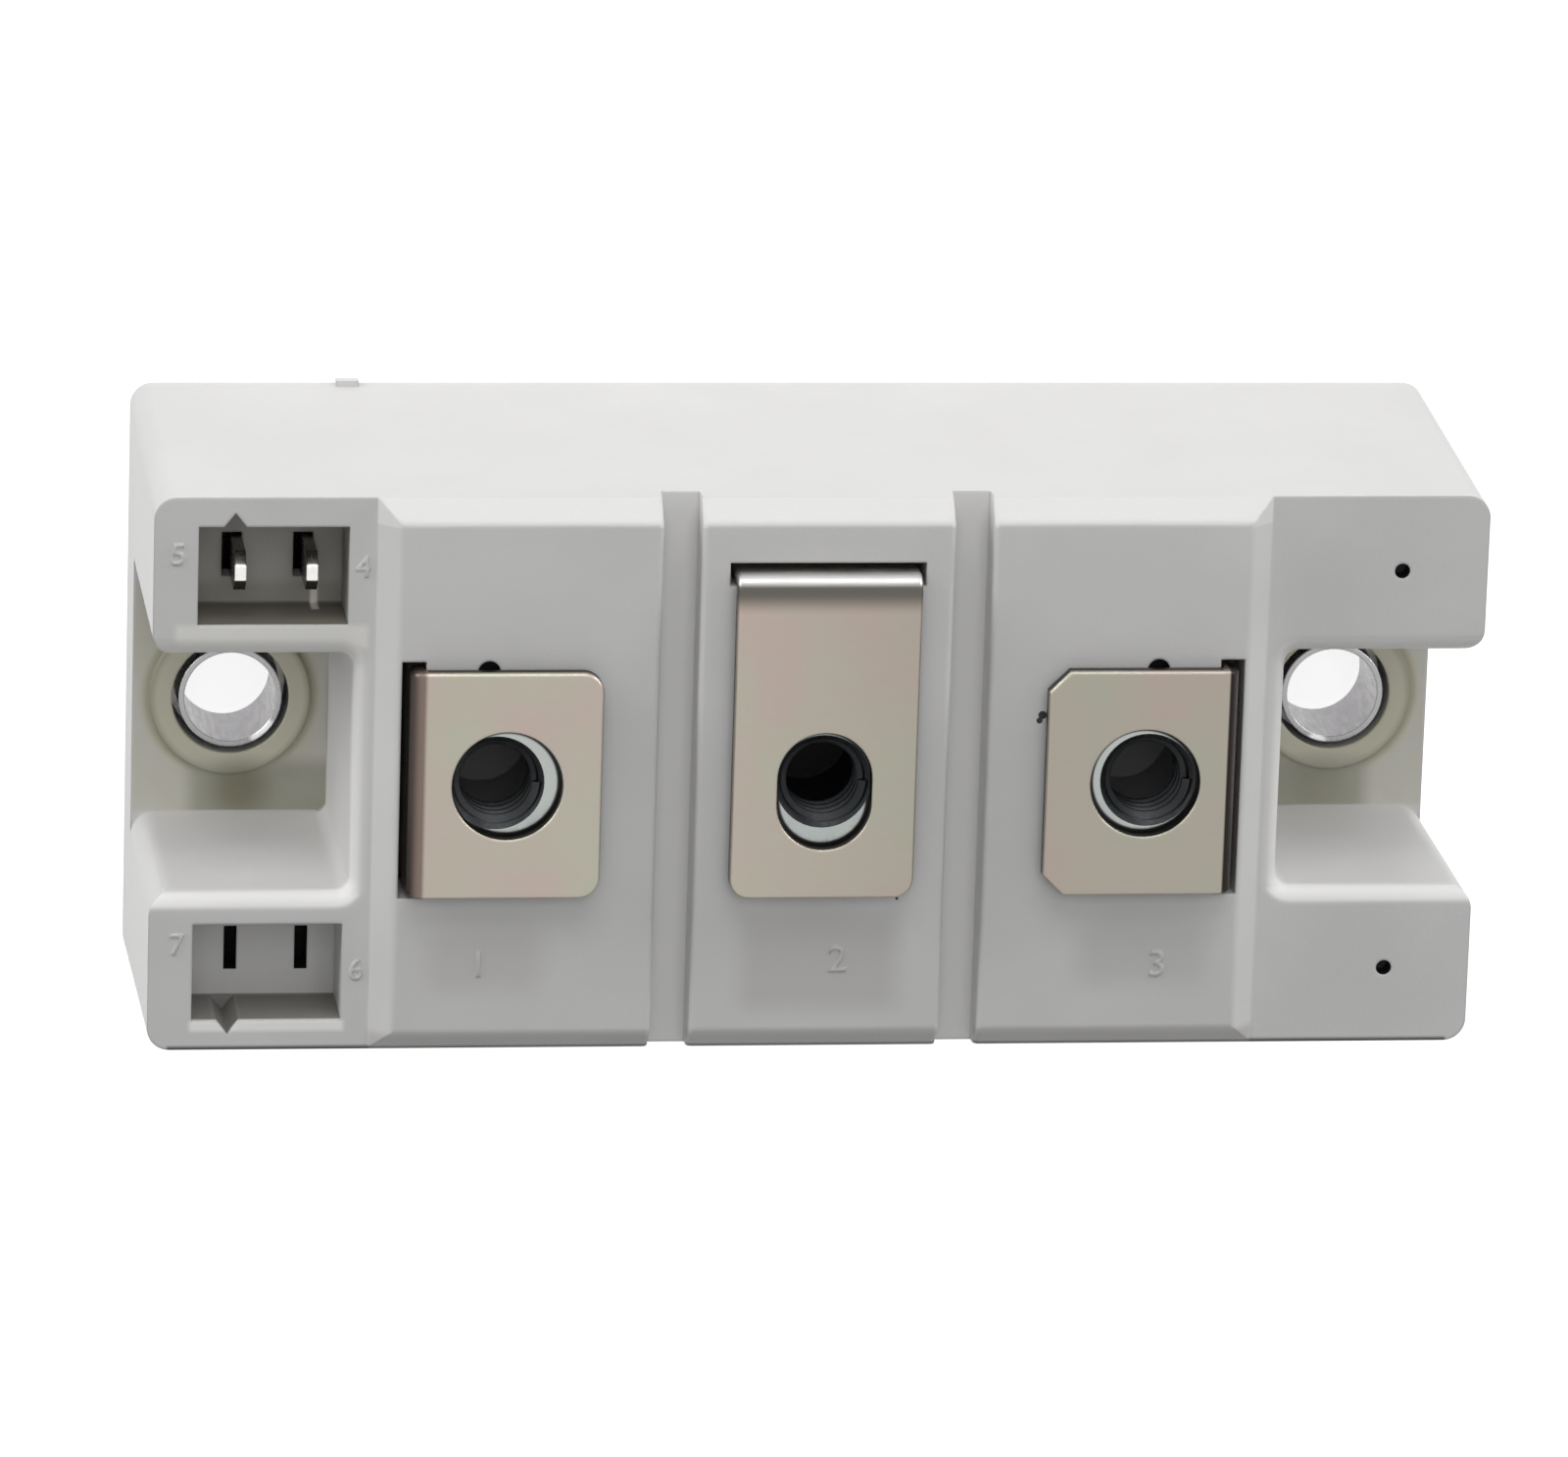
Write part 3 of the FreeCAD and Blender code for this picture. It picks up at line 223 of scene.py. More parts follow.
def blend(tree, factor, first, second):
    """The first colour where the factor is 0 and the second where it is 1."""
    mix = tree.nodes.new("ShaderNodeMix")
    mix.data_type = "RGBA"
    tree.links.new(factor, mix.inputs[0])
    for socket, value in ((mix.inputs[6], first), (mix.inputs[7], second)):
        if isinstance(value, tuple):
            socket.default_value = (*value, 1.0)
        else:
            tree.links.new(value, socket)
    return mix.outputs[2]


print("masks over places are made by", box_mask.__name__, "and", distance_from.__name__)

# %% [markdown]
# ## Painted shade in the wells
#
# An olive shade is painted on the floors of the two wells. It is full on the collar round each screw
# hole, darker in a ring at the collar's foot and in a patch on the side away from the gate tabs, and
# darkest in a deep shadow inside that patch. One box keeps the painted shade to the floor, and soft
# masks inside that box say how dark it is. The two ends mirror each other.

# %% Painted shade in the wells
SCREW_X = 40.0
WELL_FLOOR = ((33.0, -8.55, 6.9), (46.9, 8.55, 7.6))
# The collar tone, the foot ring, the patch and the deep spot are painted shade and painted shadow.
COLLAR_SHADE = {"radius": 6.6, "soft": 1.2, "tone": (0.57, 0.555, 0.44)}
FOOT_SHADE_RING = {"radius": 5.8, "half_width": 0.35, "soft": 0.6, "tone": (0.40, 0.385, 0.29)}
WELL_SHADOW_PATCH = {"box": ((31.0, -10.5, 4.0), (42.8, -4.9, 11.0)), "soft": 1.8, "tone": (0.385, 0.38, 0.315)}
DEEP_SHADOW = {"x": 39.2, "y": -7.0, "radius": 1.9, "soft": 3.0, "tone": (0.22, 0.21, 0.145)}
DEEP_SHADOW_STRENGTHS = {-1: 0.95, 1: 0.35}


def on_side(side, low, high):
    """The same box at the plain end, side 1, or mirrored to the socket end, side -1."""
    start, end = sorted((low[0] * side, high[0] * side))
    return (start, *low[1:]), (end, *high[1:])


# Paints the olive shade and its darker shadows on both well floors.
def shade_wells(tree, place, tone):
    cloud = drift_value(tree, grain(tree, place, 5.0), 0.3, 0.8)
    for side, shadow_strength in DEEP_SHADOW_STRENGTHS.items():
        floor = box_mask(tree, place, *on_side(side, *WELL_FLOOR))
        radius = distance_from(tree, place, SCREW_X * side, 0.0)
        on_collar = below(tree, radius, COLLAR_SHADE["radius"], COLLAR_SHADE["soft"])
        well_shade = calculate(tree, "MAXIMUM", cloud, on_collar)
        off_ring = calculate(tree, "ABSOLUTE", calculate(tree, "SUBTRACT", radius, FOOT_SHADE_RING["radius"] * MM))
        ring = below(tree, off_ring, FOOT_SHADE_RING["half_width"], FOOT_SHADE_RING["soft"])
        shadow_patch = box_mask(tree, place, *on_side(side, *WELL_SHADOW_PATCH["box"]), WELL_SHADOW_PATCH["soft"])
        off_deep_shadow = distance_from(tree, place, DEEP_SHADOW["x"] * side, DEEP_SHADOW["y"])
        deep_shadow = calculate(tree, "MULTIPLY", below(tree, off_deep_shadow, DEEP_SHADOW["radius"], DEEP_SHADOW["soft"]), shadow_strength)
        for layer, trace in ((well_shade, COLLAR_SHADE), (ring, FOOT_SHADE_RING), (shadow_patch, WELL_SHADOW_PATCH), (deep_shadow, DEEP_SHADOW)):
            tone = blend(tree, calculate(tree, "MULTIPLY", floor, layer), tone, trace["tone"])
    return tone


print("film on", len(DEEP_SHADOW_STRENGTHS), "well floors")

# %% [markdown]
# ## Painted shade, painted highlights and dust
#
# Shade is painted inside the sockets, on their upright walls and in the key notch, and painted
# highlights lie on the sockets' rims and beside a gate tab. The two grooves are painted lighter than
# the deck, as painted light. The lower bevel is painted darker, a painted shadow runs along the edge
# under it, and a patch of painted shade lies in front of each terminal. The screw rooms, the blind
# slots, the pits of the pin marks and the holes by the plates are painted black as shade, and a few
# nicks and a speck hold black dust. All of them are rows of two tables, because one loop over a
# table is easier to read and to change than twenty masks wired by hand.

# %% Painted shade, painted highlights and dust
BLACK_DUST_AND_SHADE = (0.012, 0.012, 0.012)
ROOM_SHADE = (0.22, 0.22, 0.22)
# Each row has a box's two corners, the soft width of its border and the tone that it leaves.
# Every row paints light or shade: shade in the sockets, the notch, the bevel, the patches, the screw rooms
# and the slots, a shadow along the lower edge, and highlights on the rims, a tab and grooves.
CASE_PAINTED_LIGHT = {
    "upper_socket_shade": ((-44.05, 9.75, 21.3), (-33.25, 19.1, 27.25), 0.1, (0.43, 0.42, 0.39)),
    "upper_socket_floor_shade": ((-44.05, 9.75, 21.3), (-33.25, 12.4, 22.5), 0.9, (0.34, 0.325, 0.29)),
    "upper_socket_wall_shade": ((-44.05, 10.7, 21.45), (-33.25, 11.0, 27.2), 0.1, (0.20, 0.185, 0.155)),
    "upper_socket_highlight": ((-35.6, 10.6, 21.3), (-35.1, 12.6, 23.2), 0.25, (0.88, 0.85, 0.81)),
    "lower_socket_wall_shade": ((-44.05, -18.1, 21.45), (-33.25, -17.8, 27.2), 0.1, (0.24, 0.235, 0.22)),
    "lower_socket_key_shade": ((-42.4, -19.1, 21.45), (-40.3, -17.9, 27.2), 0.1, (0.27, 0.265, 0.25)),
    "upper_socket_rim_highlight": ((-45.4, 9.2, 27.2), (-32.0, 10.85, 27.8), 0.6, (0.77, 0.765, 0.73)),
    "lower_socket_rim_highlight": ((-44.05, -18.7, 27.0), (-33.2, -17.95, 28.0), 0.45, (0.90, 0.895, 0.88)),
    "right_groove_light": ((8.95, -20.1, 26.1), (11.55, 20.1, 26.9), 0.2, (0.71, 0.705, 0.70)),
    "left_groove_light": ((-11.55, -20.1, 26.1), (-8.95, 20.1, 26.9), 0.2, (0.71, 0.705, 0.70)),
    "lower_bevel_shade": ((-31.5, -20.5, 27.3), (31.5, -18.7, 29.2), 0.8, (0.47, 0.465, 0.455)),
    "lower_edge_shadow": ((-45.6, -20.5, 27.35), (45.6, -19.8, 28.4), 0.3, (0.09, 0.09, 0.09)),
    "left_shade_patch": ((-27.5, -15.4, 27.0), (-19.5, -10.8, 31.0), 3.0, (0.55, 0.543, 0.53)),
    "middle_shade_patch": ((-5.4, -16.9, 27.0), (5.7, -10.3, 31.0), 2.5, (0.525, 0.52, 0.51)),
    "right_shade_patch": ((18.6, -15.3, 27.0), (27.8, -10.6, 31.0), 3.0, (0.54, 0.54, 0.525)),
    "left_screw_room_shade": ((-28.0, -5.0, 15.0), (-18.0, 5.0, 24.5), 0.1, ROOM_SHADE),
    "right_screw_room_shade": ((18.0, -5.0, 15.0), (28.0, 5.0, 24.5), 0.1, ROOM_SHADE),
    "blind_slots_shade": ((-43.2, -16.4, 18.0), (-34.1, -12.4, 21.4), 0.1, BLACK_DUST_AND_SHADE),
}
# Each row has a place, the height that the black reaches up to, and its radius. In the pin marks,
# the holes and the screw room the black is painted shade; in the nicks and the speck it is dust.
DARK_SPOTS = {
    "upper_pin_mark": (40.9, 14.6, 27.4, 0.6),
    "lower_pin_mark": (40.9, -14.6, 27.4, 0.6),
    "hole_by_left_plate": (-23.6, 7.85, 28.85, 0.84),
    "hole_by_right_plate": (23.6, 7.85, 28.85, 0.84),
    "middle_screw_room_shade": (0.0, 0.0, 24.5, 4.7),
    "nick_by_right_plate": (15.25, 4.2, 29.2, 0.22),
    "nick_above_it": (15.45, 4.6, 29.2, 0.3),
    "speck_by_middle_plate": (5.58, -8.79, 29.2, 0.11),
}
SPOT_SOFT = 0.06
DEPTH_SOFT = 0.1


# Paints light and shade from the first table, and black shade and dust from the second.
def paint_case_light_shade_and_dust(tree, place, tone):
    for low, high, soft, painted_tone in CASE_PAINTED_LIGHT.values():
        tone = blend(tree, box_mask(tree, place, low, high, soft), tone, painted_tone)
    for x, y, top, reach in DARK_SPOTS.values():
        spot = below(tree, distance_from(tree, place, x, y), reach, SPOT_SOFT)
        deep = below(tree, axis(tree, place, "Z"), top, DEPTH_SOFT)
        tone = blend(tree, calculate(tree, "MULTIPLY", spot, deep), tone, BLACK_DUST_AND_SHADE)
    return tone


print(len(CASE_PAINTED_LIGHT), "stains and", len(DARK_SPOTS), "dark spots")

# %% [markdown]
# ## Painted light on slopes
#
# The rounded rims and bevels in a few boxes are painted paler than the faces beside them, as painted
# highlights. A box alone would also whiten the level faces, so the mask looks at how steeply the
# surface leans and keeps to slopes. It takes the height of the normal without its sign, which is
# the same from every side.

# %% Painted light on slopes
# Each row has a box's two corners, the soft width of its border and the tone that it leaves.
# Each row paints highlights on the slopes inside its box.
PAINTED_SLOPE_LIGHT = {
    "socket_end_rims": ((-47.5, -8.9, 25.5), (-32.3, 11.0, 27.9), 0.6, (0.76, 0.755, 0.74)),
    "socket_end_near_rim": ((-47.5, -11.5, 25.5), (-32.0, -8.7, 27.9), 0.5, (0.86, 0.855, 0.84)),
    "plain_end_rims": ((32.3, -8.9, 25.5), (47.5, 11.0, 27.9), 0.6, (0.74, 0.735, 0.72)),
    "plain_end_near_rim": ((32.0, -11.5, 25.5), (47.5, -8.7, 27.9), 0.5, (0.86, 0.855, 0.84)),
    "upper_deck_bevel": ((-33.0, 18.2, 27.3), (33.0, 20.6, 29.1), 0.1, (0.74, 0.735, 0.73)),
}


def paint_slope_light(tree, place, tone):
    """Painted highlights on the bevels and rounded rims in these boxes, none on level or upright faces."""
    normal = tree.nodes.new("ShaderNodeNewGeometry").outputs["Normal"]
    tilt = calculate(tree, "ABSOLUTE", axis(tree, normal, "Z"))
    not_upright = drift_value(tree, tilt, 0.0, 1.0, 0.15, 0.4)
    not_level = drift_value(tree, tilt, 1.0, 0.0, 0.95, 0.995)
    slope = calculate(tree, "MULTIPLY", not_upright, not_level)
    for low, high, soft, highlight_tone in PAINTED_SLOPE_LIGHT.values():
        highlit = calculate(tree, "MULTIPLY", slope, box_mask(tree, place, low, high, soft))
        tone = blend(tree, highlit, tone, highlight_tone)
    return tone


print(len(PAINTED_SLOPE_LIGHT), "boxes of rubbed slopes")


# %% Case plastic
CASE_TONES = ((0.615, 0.611, 0.606), (0.65, 0.645, 0.641))


def case_finish():
    material, tree, shader, place = start_finish("case_plastic_grey", 0.0)
    broad = grain(tree, place, 9.0, detail=4.0)
    fine = grain(tree, place, 0.28, detail=2.0)
    tone = drift_colour(tree, broad, *CASE_TONES)
    tone = paint_slope_light(tree, place, tone)
    tone = paint_case_light_shade_and_dust(tree, place, shade_wells(tree, place, tone))
    tree.links.new(tone, shader.inputs["Base Color"])
    tree.links.new(drift_value(tree, broad, 0.48, 0.56), shader.inputs["Roughness"])
    add_bump(tree, shader, fine, 0.012, soft_edge(tree, 0.3))
    return material


case_plastic = case_finish()
print("made", case_plastic.name, "with", len(case_plastic.node_tree.nodes), "nodes")

# %% [markdown]
# ## The plated straps
#
# The straps are copper under a dull nickel plate. The plate has cloudy pink and green patches and
# fine rolling lines along the strap, so it never shines as one mirror. A plain metal with one
# roughness would. A broad noise drives the patches, and a noise that is stretched along the strap
# makes the lines.
#
# Shade is painted on the cut edges and the walls of the holes. The outer straps' bends and the slots
# beside them are painted brown and black as shade. The middle strap's bend carries a painted
# highlight, with a band of painted shade in front of it. The straps are also a little darker from
# the socket end to the plain end.

# %% Strap metal
STRAP_TONES = ((0.43, 0.42, 0.345), (0.47, 0.39, 0.345))
# The straps' colour darkens towards the plain end.
DARKER_TO_PLAIN_END = {"width": 24.0, "strength": 0.27, "tone": (0.20, 0.185, 0.155)}
EDGE_SHADE = (0.05, 0.043, 0.038)
# Each row has a box's two corners, the soft width of its border and the tone that it leaves.
# Every row paints shade, except the middle bend's painted highlight.
STRAP_PAINTED_LIGHT = {
    "cut_edges_shade": ((-28.0, -9.0, 29.3), (28.0, 13.6, 30.26), 0.08, EDGE_SHADE),
    "left_hole_wall_shade": ((-26.4, -4.1, 29.3), (-18.2, 4.1, 30.5), 0.08, EDGE_SHADE),
    "middle_hole_wall_shade": ((-3.6, -5.0, 29.3), (3.6, 4.0, 30.5), 0.08, EDGE_SHADE),
    "right_hole_wall_shade": ((18.6, -4.1, 29.3), (26.8, 4.1, 30.5), 0.08, EDGE_SHADE),
    "middle_shade_band": ((-7.5, 13.1, 29.0), (7.5, 15.0, 32.0), 1.7, (0.13, 0.12, 0.106)),
    "middle_bend_highlight": ((-7.5, 14.45, 28.5), (7.5, 16.0, 31.0), 0.35, (0.46, 0.45, 0.44)),
    "left_bend_brown_shade": ((-30.0, -9.0, 28.5), (-28.1, 9.0, 31.0), 0.35, (0.20, 0.155, 0.13)),
    "left_slot_black_shade": ((-30.0, -9.0, 28.5), (-28.75, 9.0, 31.0), 0.8, (0.03, 0.022, 0.02)),
    "right_slot_black_shade": ((28.45, -9.0, 28.5), (30.0, 9.0, 31.0), 0.2, (0.025, 0.02, 0.018)),
}


def strap_finish():
    material, tree, shader, place = start_finish("strap_nickel_dull", 1.0)
    cloud = grain(tree, place, 7.0, detail=3.0)
    lines = grain(tree, place, 0.5, detail=4.0, stretch=(0.12, 1.0, 1.0))
    tone = drift_colour(tree, cloud, *STRAP_TONES)
    far = calculate(tree, "SUBTRACT", 1.0, below(tree, axis(tree, place, "X"), 0.0, DARKER_TO_PLAIN_END["width"]))
    tone = blend(tree, calculate(tree, "MULTIPLY", far, DARKER_TO_PLAIN_END["strength"]), tone, DARKER_TO_PLAIN_END["tone"])
    for low, high, soft, painted_tone in STRAP_PAINTED_LIGHT.values():
        tone = blend(tree, box_mask(tree, place, low, high, soft), tone, painted_tone)
    tree.links.new(tone, shader.inputs["Base Color"])
    tree.links.new(drift_value(tree, lines, 0.3, 0.42), shader.inputs["Roughness"])
    add_bump(tree, shader, lines, 0.01, soft_edge(tree, 0.3))
    return material


strap_metal = strap_finish()
print("made", strap_metal.name, "with", len(STRAP_PAINTED_LIGHT), "stains")

# %% [markdown]
# ## The other metals
#
# The nuts' bores are painted nearly black as shade, the base plate is satin nickel and the pads are
# bare copper. Each could have a recipe of its own. They differ only in colour, in how rough they are
# and in which way their lines run, so one recipe with those values serves them all.

# %% Plain metals
METAL_LINES = 0.3


def metal_finish(name, first, second, rough, stretch, depth):
    material, tree, shader, place = start_finish(name, 1.0)
    cloud = grain(tree, place, 4.0)
    lines = grain(tree, place, METAL_LINES, detail=4.0, stretch=stretch)
    tree.links.new(drift_colour(tree, cloud, first, second), shader.inputs["Base Color"])
    tree.links.new(drift_value(tree, lines, *rough), shader.inputs["Roughness"])
    add_bump(tree, shader, lines, depth, soft_edge(tree, 0.15))
    return material


# The bore's near black is painted shade.
nut_bore = metal_finish(
    "nut_bore_dark", (0.032, 0.034, 0.036), (0.05, 0.053, 0.056), (0.35, 0.5), (1, 1, 1), 0.01
)
base_nickel = metal_finish(
    "base_nickel_satin", (0.60, 0.59, 0.56), (0.68, 0.67, 0.64), (0.3, 0.42), (0.08, 1, 1), 0.006
)
copper = metal_finish(
    "copper_bare", (0.70, 0.40, 0.28), (0.80, 0.48, 0.34), (0.25, 0.4), (0.1, 1, 1), 0.006
)
print("made", [metal.name for metal in (nut_bore, base_nickel, copper)])

# %% [markdown]
# ## Zinc with a painted shadow border
#
# A nut's face shows through the hole of the strap above it. Its zinc is a dim green grey, and a
# painted shadow of the strap lies on it along the edge of that hole. The shadow could be a separate
# dark ring, but a mask that follows the hole's own outline, round or slotted, gives the same line
# with no extra piece.

# %% Zinc with a painted shadow border
ZINC_TONES = ((0.40, 0.435, 0.42), (0.46, 0.485, 0.465))
# Each row has a hole's place, half the length of its straight sides and its radius.
HOLES_ABOVE = {
    "left": (-22.3, 0.0, 0.0, 3.85),
    "middle": (0.0, -0.5, 0.9, 3.3),
    "right": (22.7, 0.0, 0.0, 3.85),
}
# The strap's shadow on the nut's face, painted as a dark border along the hole's edge.
RIM_SHADOW = {"width": 0.28, "soft": 0.2, "reach": 7.5, "tone": (0.025, 0.025, 0.025)}


def zinc_finish():
    material, tree, shader, place = start_finish("nut_zinc_blue", 1.0)
    lines = grain(tree, place, METAL_LINES, detail=4.0)
    tone = drift_colour(tree, grain(tree, place, 4.0), *ZINC_TONES)
    for x, y, half_run, radius in HOLES_ABOVE.values():
        gap = distance_from(tree, place, x, y, half_run)
        inside = below(tree, gap, radius - RIM_SHADOW["width"], RIM_SHADOW["soft"])
        outside = calculate(tree, "SUBTRACT", 1.0, inside)
        rim_shadow = calculate(tree, "MULTIPLY", outside, below(tree, gap, RIM_SHADOW["reach"], 0.1))
        tone = blend(tree, rim_shadow, tone, RIM_SHADOW["tone"])
    tree.links.new(tone, shader.inputs["Base Color"])
    tree.links.new(drift_value(tree, lines, 0.22, 0.36), shader.inputs["Roughness"])
    add_bump(tree, shader, lines, 0.01, soft_edge(tree, 0.15))
    return material


nut_zinc = zinc_finish()
print("made", nut_zinc.name)

# %% [markdown]
# ## Metals painted shaded below and highlit at the top
#
# The tinned tabs and the drawn sleeves are painted in a shaded tone below a given height and in a
# highlit tone above it. Each could be split into two pieces of two metals. A change of tone at a
# given height keeps them whole, as the real ones are. The sleeves also have a small painted glint
# each on the rim.

# %% Metals painted shaded below and highlit at the top
GLINT = (0.95, 0.95, 0.95)
GLINT_SOFT = 0.5
LINE_CONTRAST = 1.08


def tipped_finish(name, shaded, highlit, limit, rough, line_width, glints=()):
    """Painted shade below this height, a painted highlight above it, and a glint near each of these points.
    """
    material, tree, shader, place = start_finish(name, 1.0)
    lines = grain(tree, place, line_width, detail=4.0, stretch=(1, 1, 0.2))
    tone = drift_colour(tree, lines, highlit, tuple(part * LINE_CONTRAST for part in highlit))
    for x, y, reach in glints:
        near = below(tree, distance_from(tree, place, x, y), reach, GLINT_SOFT)
        tone = blend(tree, near, tone, GLINT)
    tone = blend(tree, below(tree, axis(tree, place, "Z"), limit, 0.2), tone, shaded)
    tree.links.new(tone, shader.inputs["Base Color"])
    tree.links.new(drift_value(tree, lines, *rough), shader.inputs["Roughness"])
    add_bump(tree, shader, lines, 0.006, soft_edge(tree, 0.15))
    return material


# Below these heights the metal is painted in a shaded tone, above them in a highlit tone.
TAB_HIGHLIT_ABOVE = 26.6
SLEEVE_HIGHLIT_ABOVE = 7.27
SLEEVE_GLINTS = [(-37.56, -2.67, 1.0), (38.99, -3.72, 0.7)]
tab_tin = tipped_finish(
    "tab_tin", (0.12, 0.115, 0.105), (0.84, 0.83, 0.80), TAB_HIGHLIT_ABOVE, (0.18, 0.32), 0.25
)
sleeve_metal = tipped_finish(
    "sleeve_drawn",
    (0.33, 0.32, 0.33),
    (0.40, 0.40, 0.40),
    SLEEVE_HIGHLIT_ABOVE,
    (0.22, 0.36),
    0.4,
    SLEEVE_GLINTS,
)
print("made", tab_tin.name, sleeve_metal.name)

# %% [markdown]
# ## The hidden materials
#
# Inside the case are alumina tiles, silicon chips, sleeved leads, a soft gel and a black resin, and
# silicone seals the case to its plate. Nobody sees them in the photograph, but someone who takes
# the case off does. One flat colour each would do for that, but a tone that drifts and a grain of
# its own tell the six apart, and one recipe serves them all.

# %% Ceramic, silicon, rubber and resin
# Each row has two tones, the least and most roughness, the widths of blotch and grit, and the depth.
HIDDEN_RECIPES = {
    "alumina_white": ((0.80, 0.80, 0.78), (0.86, 0.86, 0.84), (0.55, 0.7), 3.0, 0.1, 0.004),
    "silicon_dark": ((0.10, 0.11, 0.14), (0.16, 0.17, 0.21), (0.12, 0.2), 2.0, 0.3, 0.001),
    "lead_sleeving": ((0.70, 0.69, 0.65), (0.77, 0.76, 0.72), (0.45, 0.6), 2.0, 0.2, 0.006),
    "seal_silicone": ((0.62, 0.62, 0.60), (0.70, 0.70, 0.68), (0.5, 0.65), 3.0, 0.4, 0.01),
    "gel_clear": ((0.74, 0.76, 0.76), (0.80, 0.82, 0.82), (0.1, 0.2), 5.0, 0.8, 0.01),
    "resin_black": ((0.045, 0.045, 0.045), (0.07, 0.07, 0.07), (0.25, 0.45), 5.0, 0.5, 0.02),
}


def plain_finish(name, first, second, rough, blotch, grit, depth):
    material, tree, shader, place = start_finish(name, 0.0)
    cloud = grain(tree, place, blotch)
    fine = grain(tree, place, grit)
    tree.links.new(drift_colour(tree, cloud, first, second), shader.inputs["Base Color"])
    tree.links.new(drift_value(tree, fine, *rough), shader.inputs["Roughness"])
    add_bump(tree, shader, fine, depth)
    return material


hidden = {name: plain_finish(name, *recipe) for name, recipe in HIDDEN_RECIPES.items()}
print("made", list(hidden))

# %% [markdown]
# ## Round forms that look round
#
# The frame's meshes are loose triangles with flat shading, so a round corner shows its facets.
# Smoothing the mesh itself would change what the frame brought in. A small group of geometry nodes
# joins the triangles and shades them smoothly, except over edges that turn by more than 30 degrees.
# It is a modifier, so the mesh itself is left as it came.

# %% Smooth shading as a modifier
SHARP_ANGLE = math.radians(30)
JOIN_WITHIN = 0.0005 * MM


def smoothing_group():
    group = bpy.data.node_groups.new("smooth_round_forms", "GeometryNodeTree")
    group.interface.new_socket("Mesh", in_out="INPUT", socket_type="NodeSocketGeometry")
    group.interface.new_socket("Mesh", in_out="OUTPUT", socket_type="NodeSocketGeometry")
    start = group.nodes.new("NodeGroupInput")
    end = group.nodes.new("NodeGroupOutput")
    join = group.nodes.new("GeometryNodeMergeByDistance")
    join.inputs["Distance"].default_value = JOIN_WITHIN
    faces = group.nodes.new("GeometryNodeSetShadeSmooth")
    angle = group.nodes.new("GeometryNodeInputMeshEdgeAngle")
    sharp = group.nodes.new("FunctionNodeCompare")
    sharp.operation = "GREATER_THAN"
    sharp.inputs["B"].default_value = SHARP_ANGLE
    edges = group.nodes.new("GeometryNodeSetShadeSmooth")
    edges.domain = "EDGE"
    edges.inputs["Shade Smooth"].default_value = False
    group.links.new(start.outputs[0], join.inputs["Geometry"])
    group.links.new(join.outputs["Geometry"], faces.inputs["Geometry"])
    group.links.new(faces.outputs["Geometry"], edges.inputs["Geometry"])
    group.links.new(angle.outputs["Unsigned Angle"], sharp.inputs["A"])
    group.links.new(sharp.outputs["Result"], edges.inputs["Selection"])
    group.links.new(edges.outputs["Geometry"], end.inputs[0])
    return group


smooth_round_forms = smoothing_group()
print("made", smooth_round_forms.name)

# %% [markdown]
# ## Dress the frame's pieces
#
# Each solid of the frame already has the right shape, so none is modelled again. It keeps its mesh
# and gets its finish in its material slots, and the smoothing modifier. The nuts come later,
# because pieces with real threads stand in for them.

# %% Assign the finishes
FINISHES = {
    "housing": case_plastic,
    "terminal_left": strap_metal,
    "terminal_middle": strap_metal,
    "terminal_right": strap_metal,
    "mount_sleeve_left": sleeve_metal,
    "mount_sleeve_right": sleeve_metal,
    "base_plate": base_nickel,
    "seal_bead": hidden["seal_silicone"],
    "gate_tab": tab_tin,
    "cathode_tab": tab_tin,
    "gate_lead": hidden["lead_sleeving"],
    "cathode_lead": hidden["lead_sleeving"],
    "tile_left_ceramic": hidden["alumina_white"],
    "tile_right_ceramic": hidden["alumina_white"],
    "tile_left_lower_copper": copper,
    "tile_right_lower_copper": copper,
    "pad_anode": copper,
    "pad_common_left": copper,
    "pad_common_right": copper,
    "pad_cathode": copper,
    "clip_left": copper,
    "clip_right": copper,
    "thyristor_chip": hidden["silicon_dark"],
    "diode_chip": hidden["silicon_dark"],
    "silicone_gel": hidden["gel_clear"],
    "casting_resin": hidden["resin_black"],
}


def dress(node, finish):
    if not node.material_slots:
        node.data.materials.append(finish)
    for slot in node.material_slots:
        slot.link = "OBJECT"
        slot.material = finish
    smoothing = node.modifiers.new("smooth_round_forms", "NODES")
    smoothing.node_group = smooth_round_forms


for name, finish in FINISHES.items():
    dress(nodes[name], finish)
print("dressed", len(FINISHES), "pieces, left:", sorted(set(nodes) - set(FINISHES)))

# %% [markdown]
# ## The threaded nuts
#
# A nut under each strap takes the terminal screw. Through the strap's hole you see its face, the
# lead-in and the first turns of thread. A bump could fake the thread, but the light falls straight
# into the bore, so it is cut for real: the body is a hexagon joined to a round bore, and the thread
# is one small trapezium spun up a helix. The bore, its lead-in and the thread are painted nearly
# black as shade, and only the face shines.

# %% Nut body and thread
NUT_LOW = 24.6
NUT_HIGH = 29.6
NUT_FLATS = 10.0
BORE_RADIUS = 2.98
BORE_REACH = 3.5
LEAD_IN = 0.4
THREAD_PITCH = 1.0
THREAD_STEPS = 48
THREAD_INSET = 0.5
THREAD_TURNS = (NUT_HIGH - NUT_LOW - 2 * THREAD_INSET) / THREAD_PITCH
THREAD_SECTION = [(3.02, -0.42), (2.5, -0.07), (2.5, 0.07), (3.02, 0.42)]


def near_bore(part):
    """Whether an edge or a face of a nut at the origin belongs to its bore."""
    return all(vert.co.xy.length < BORE_REACH for vert in part.verts)


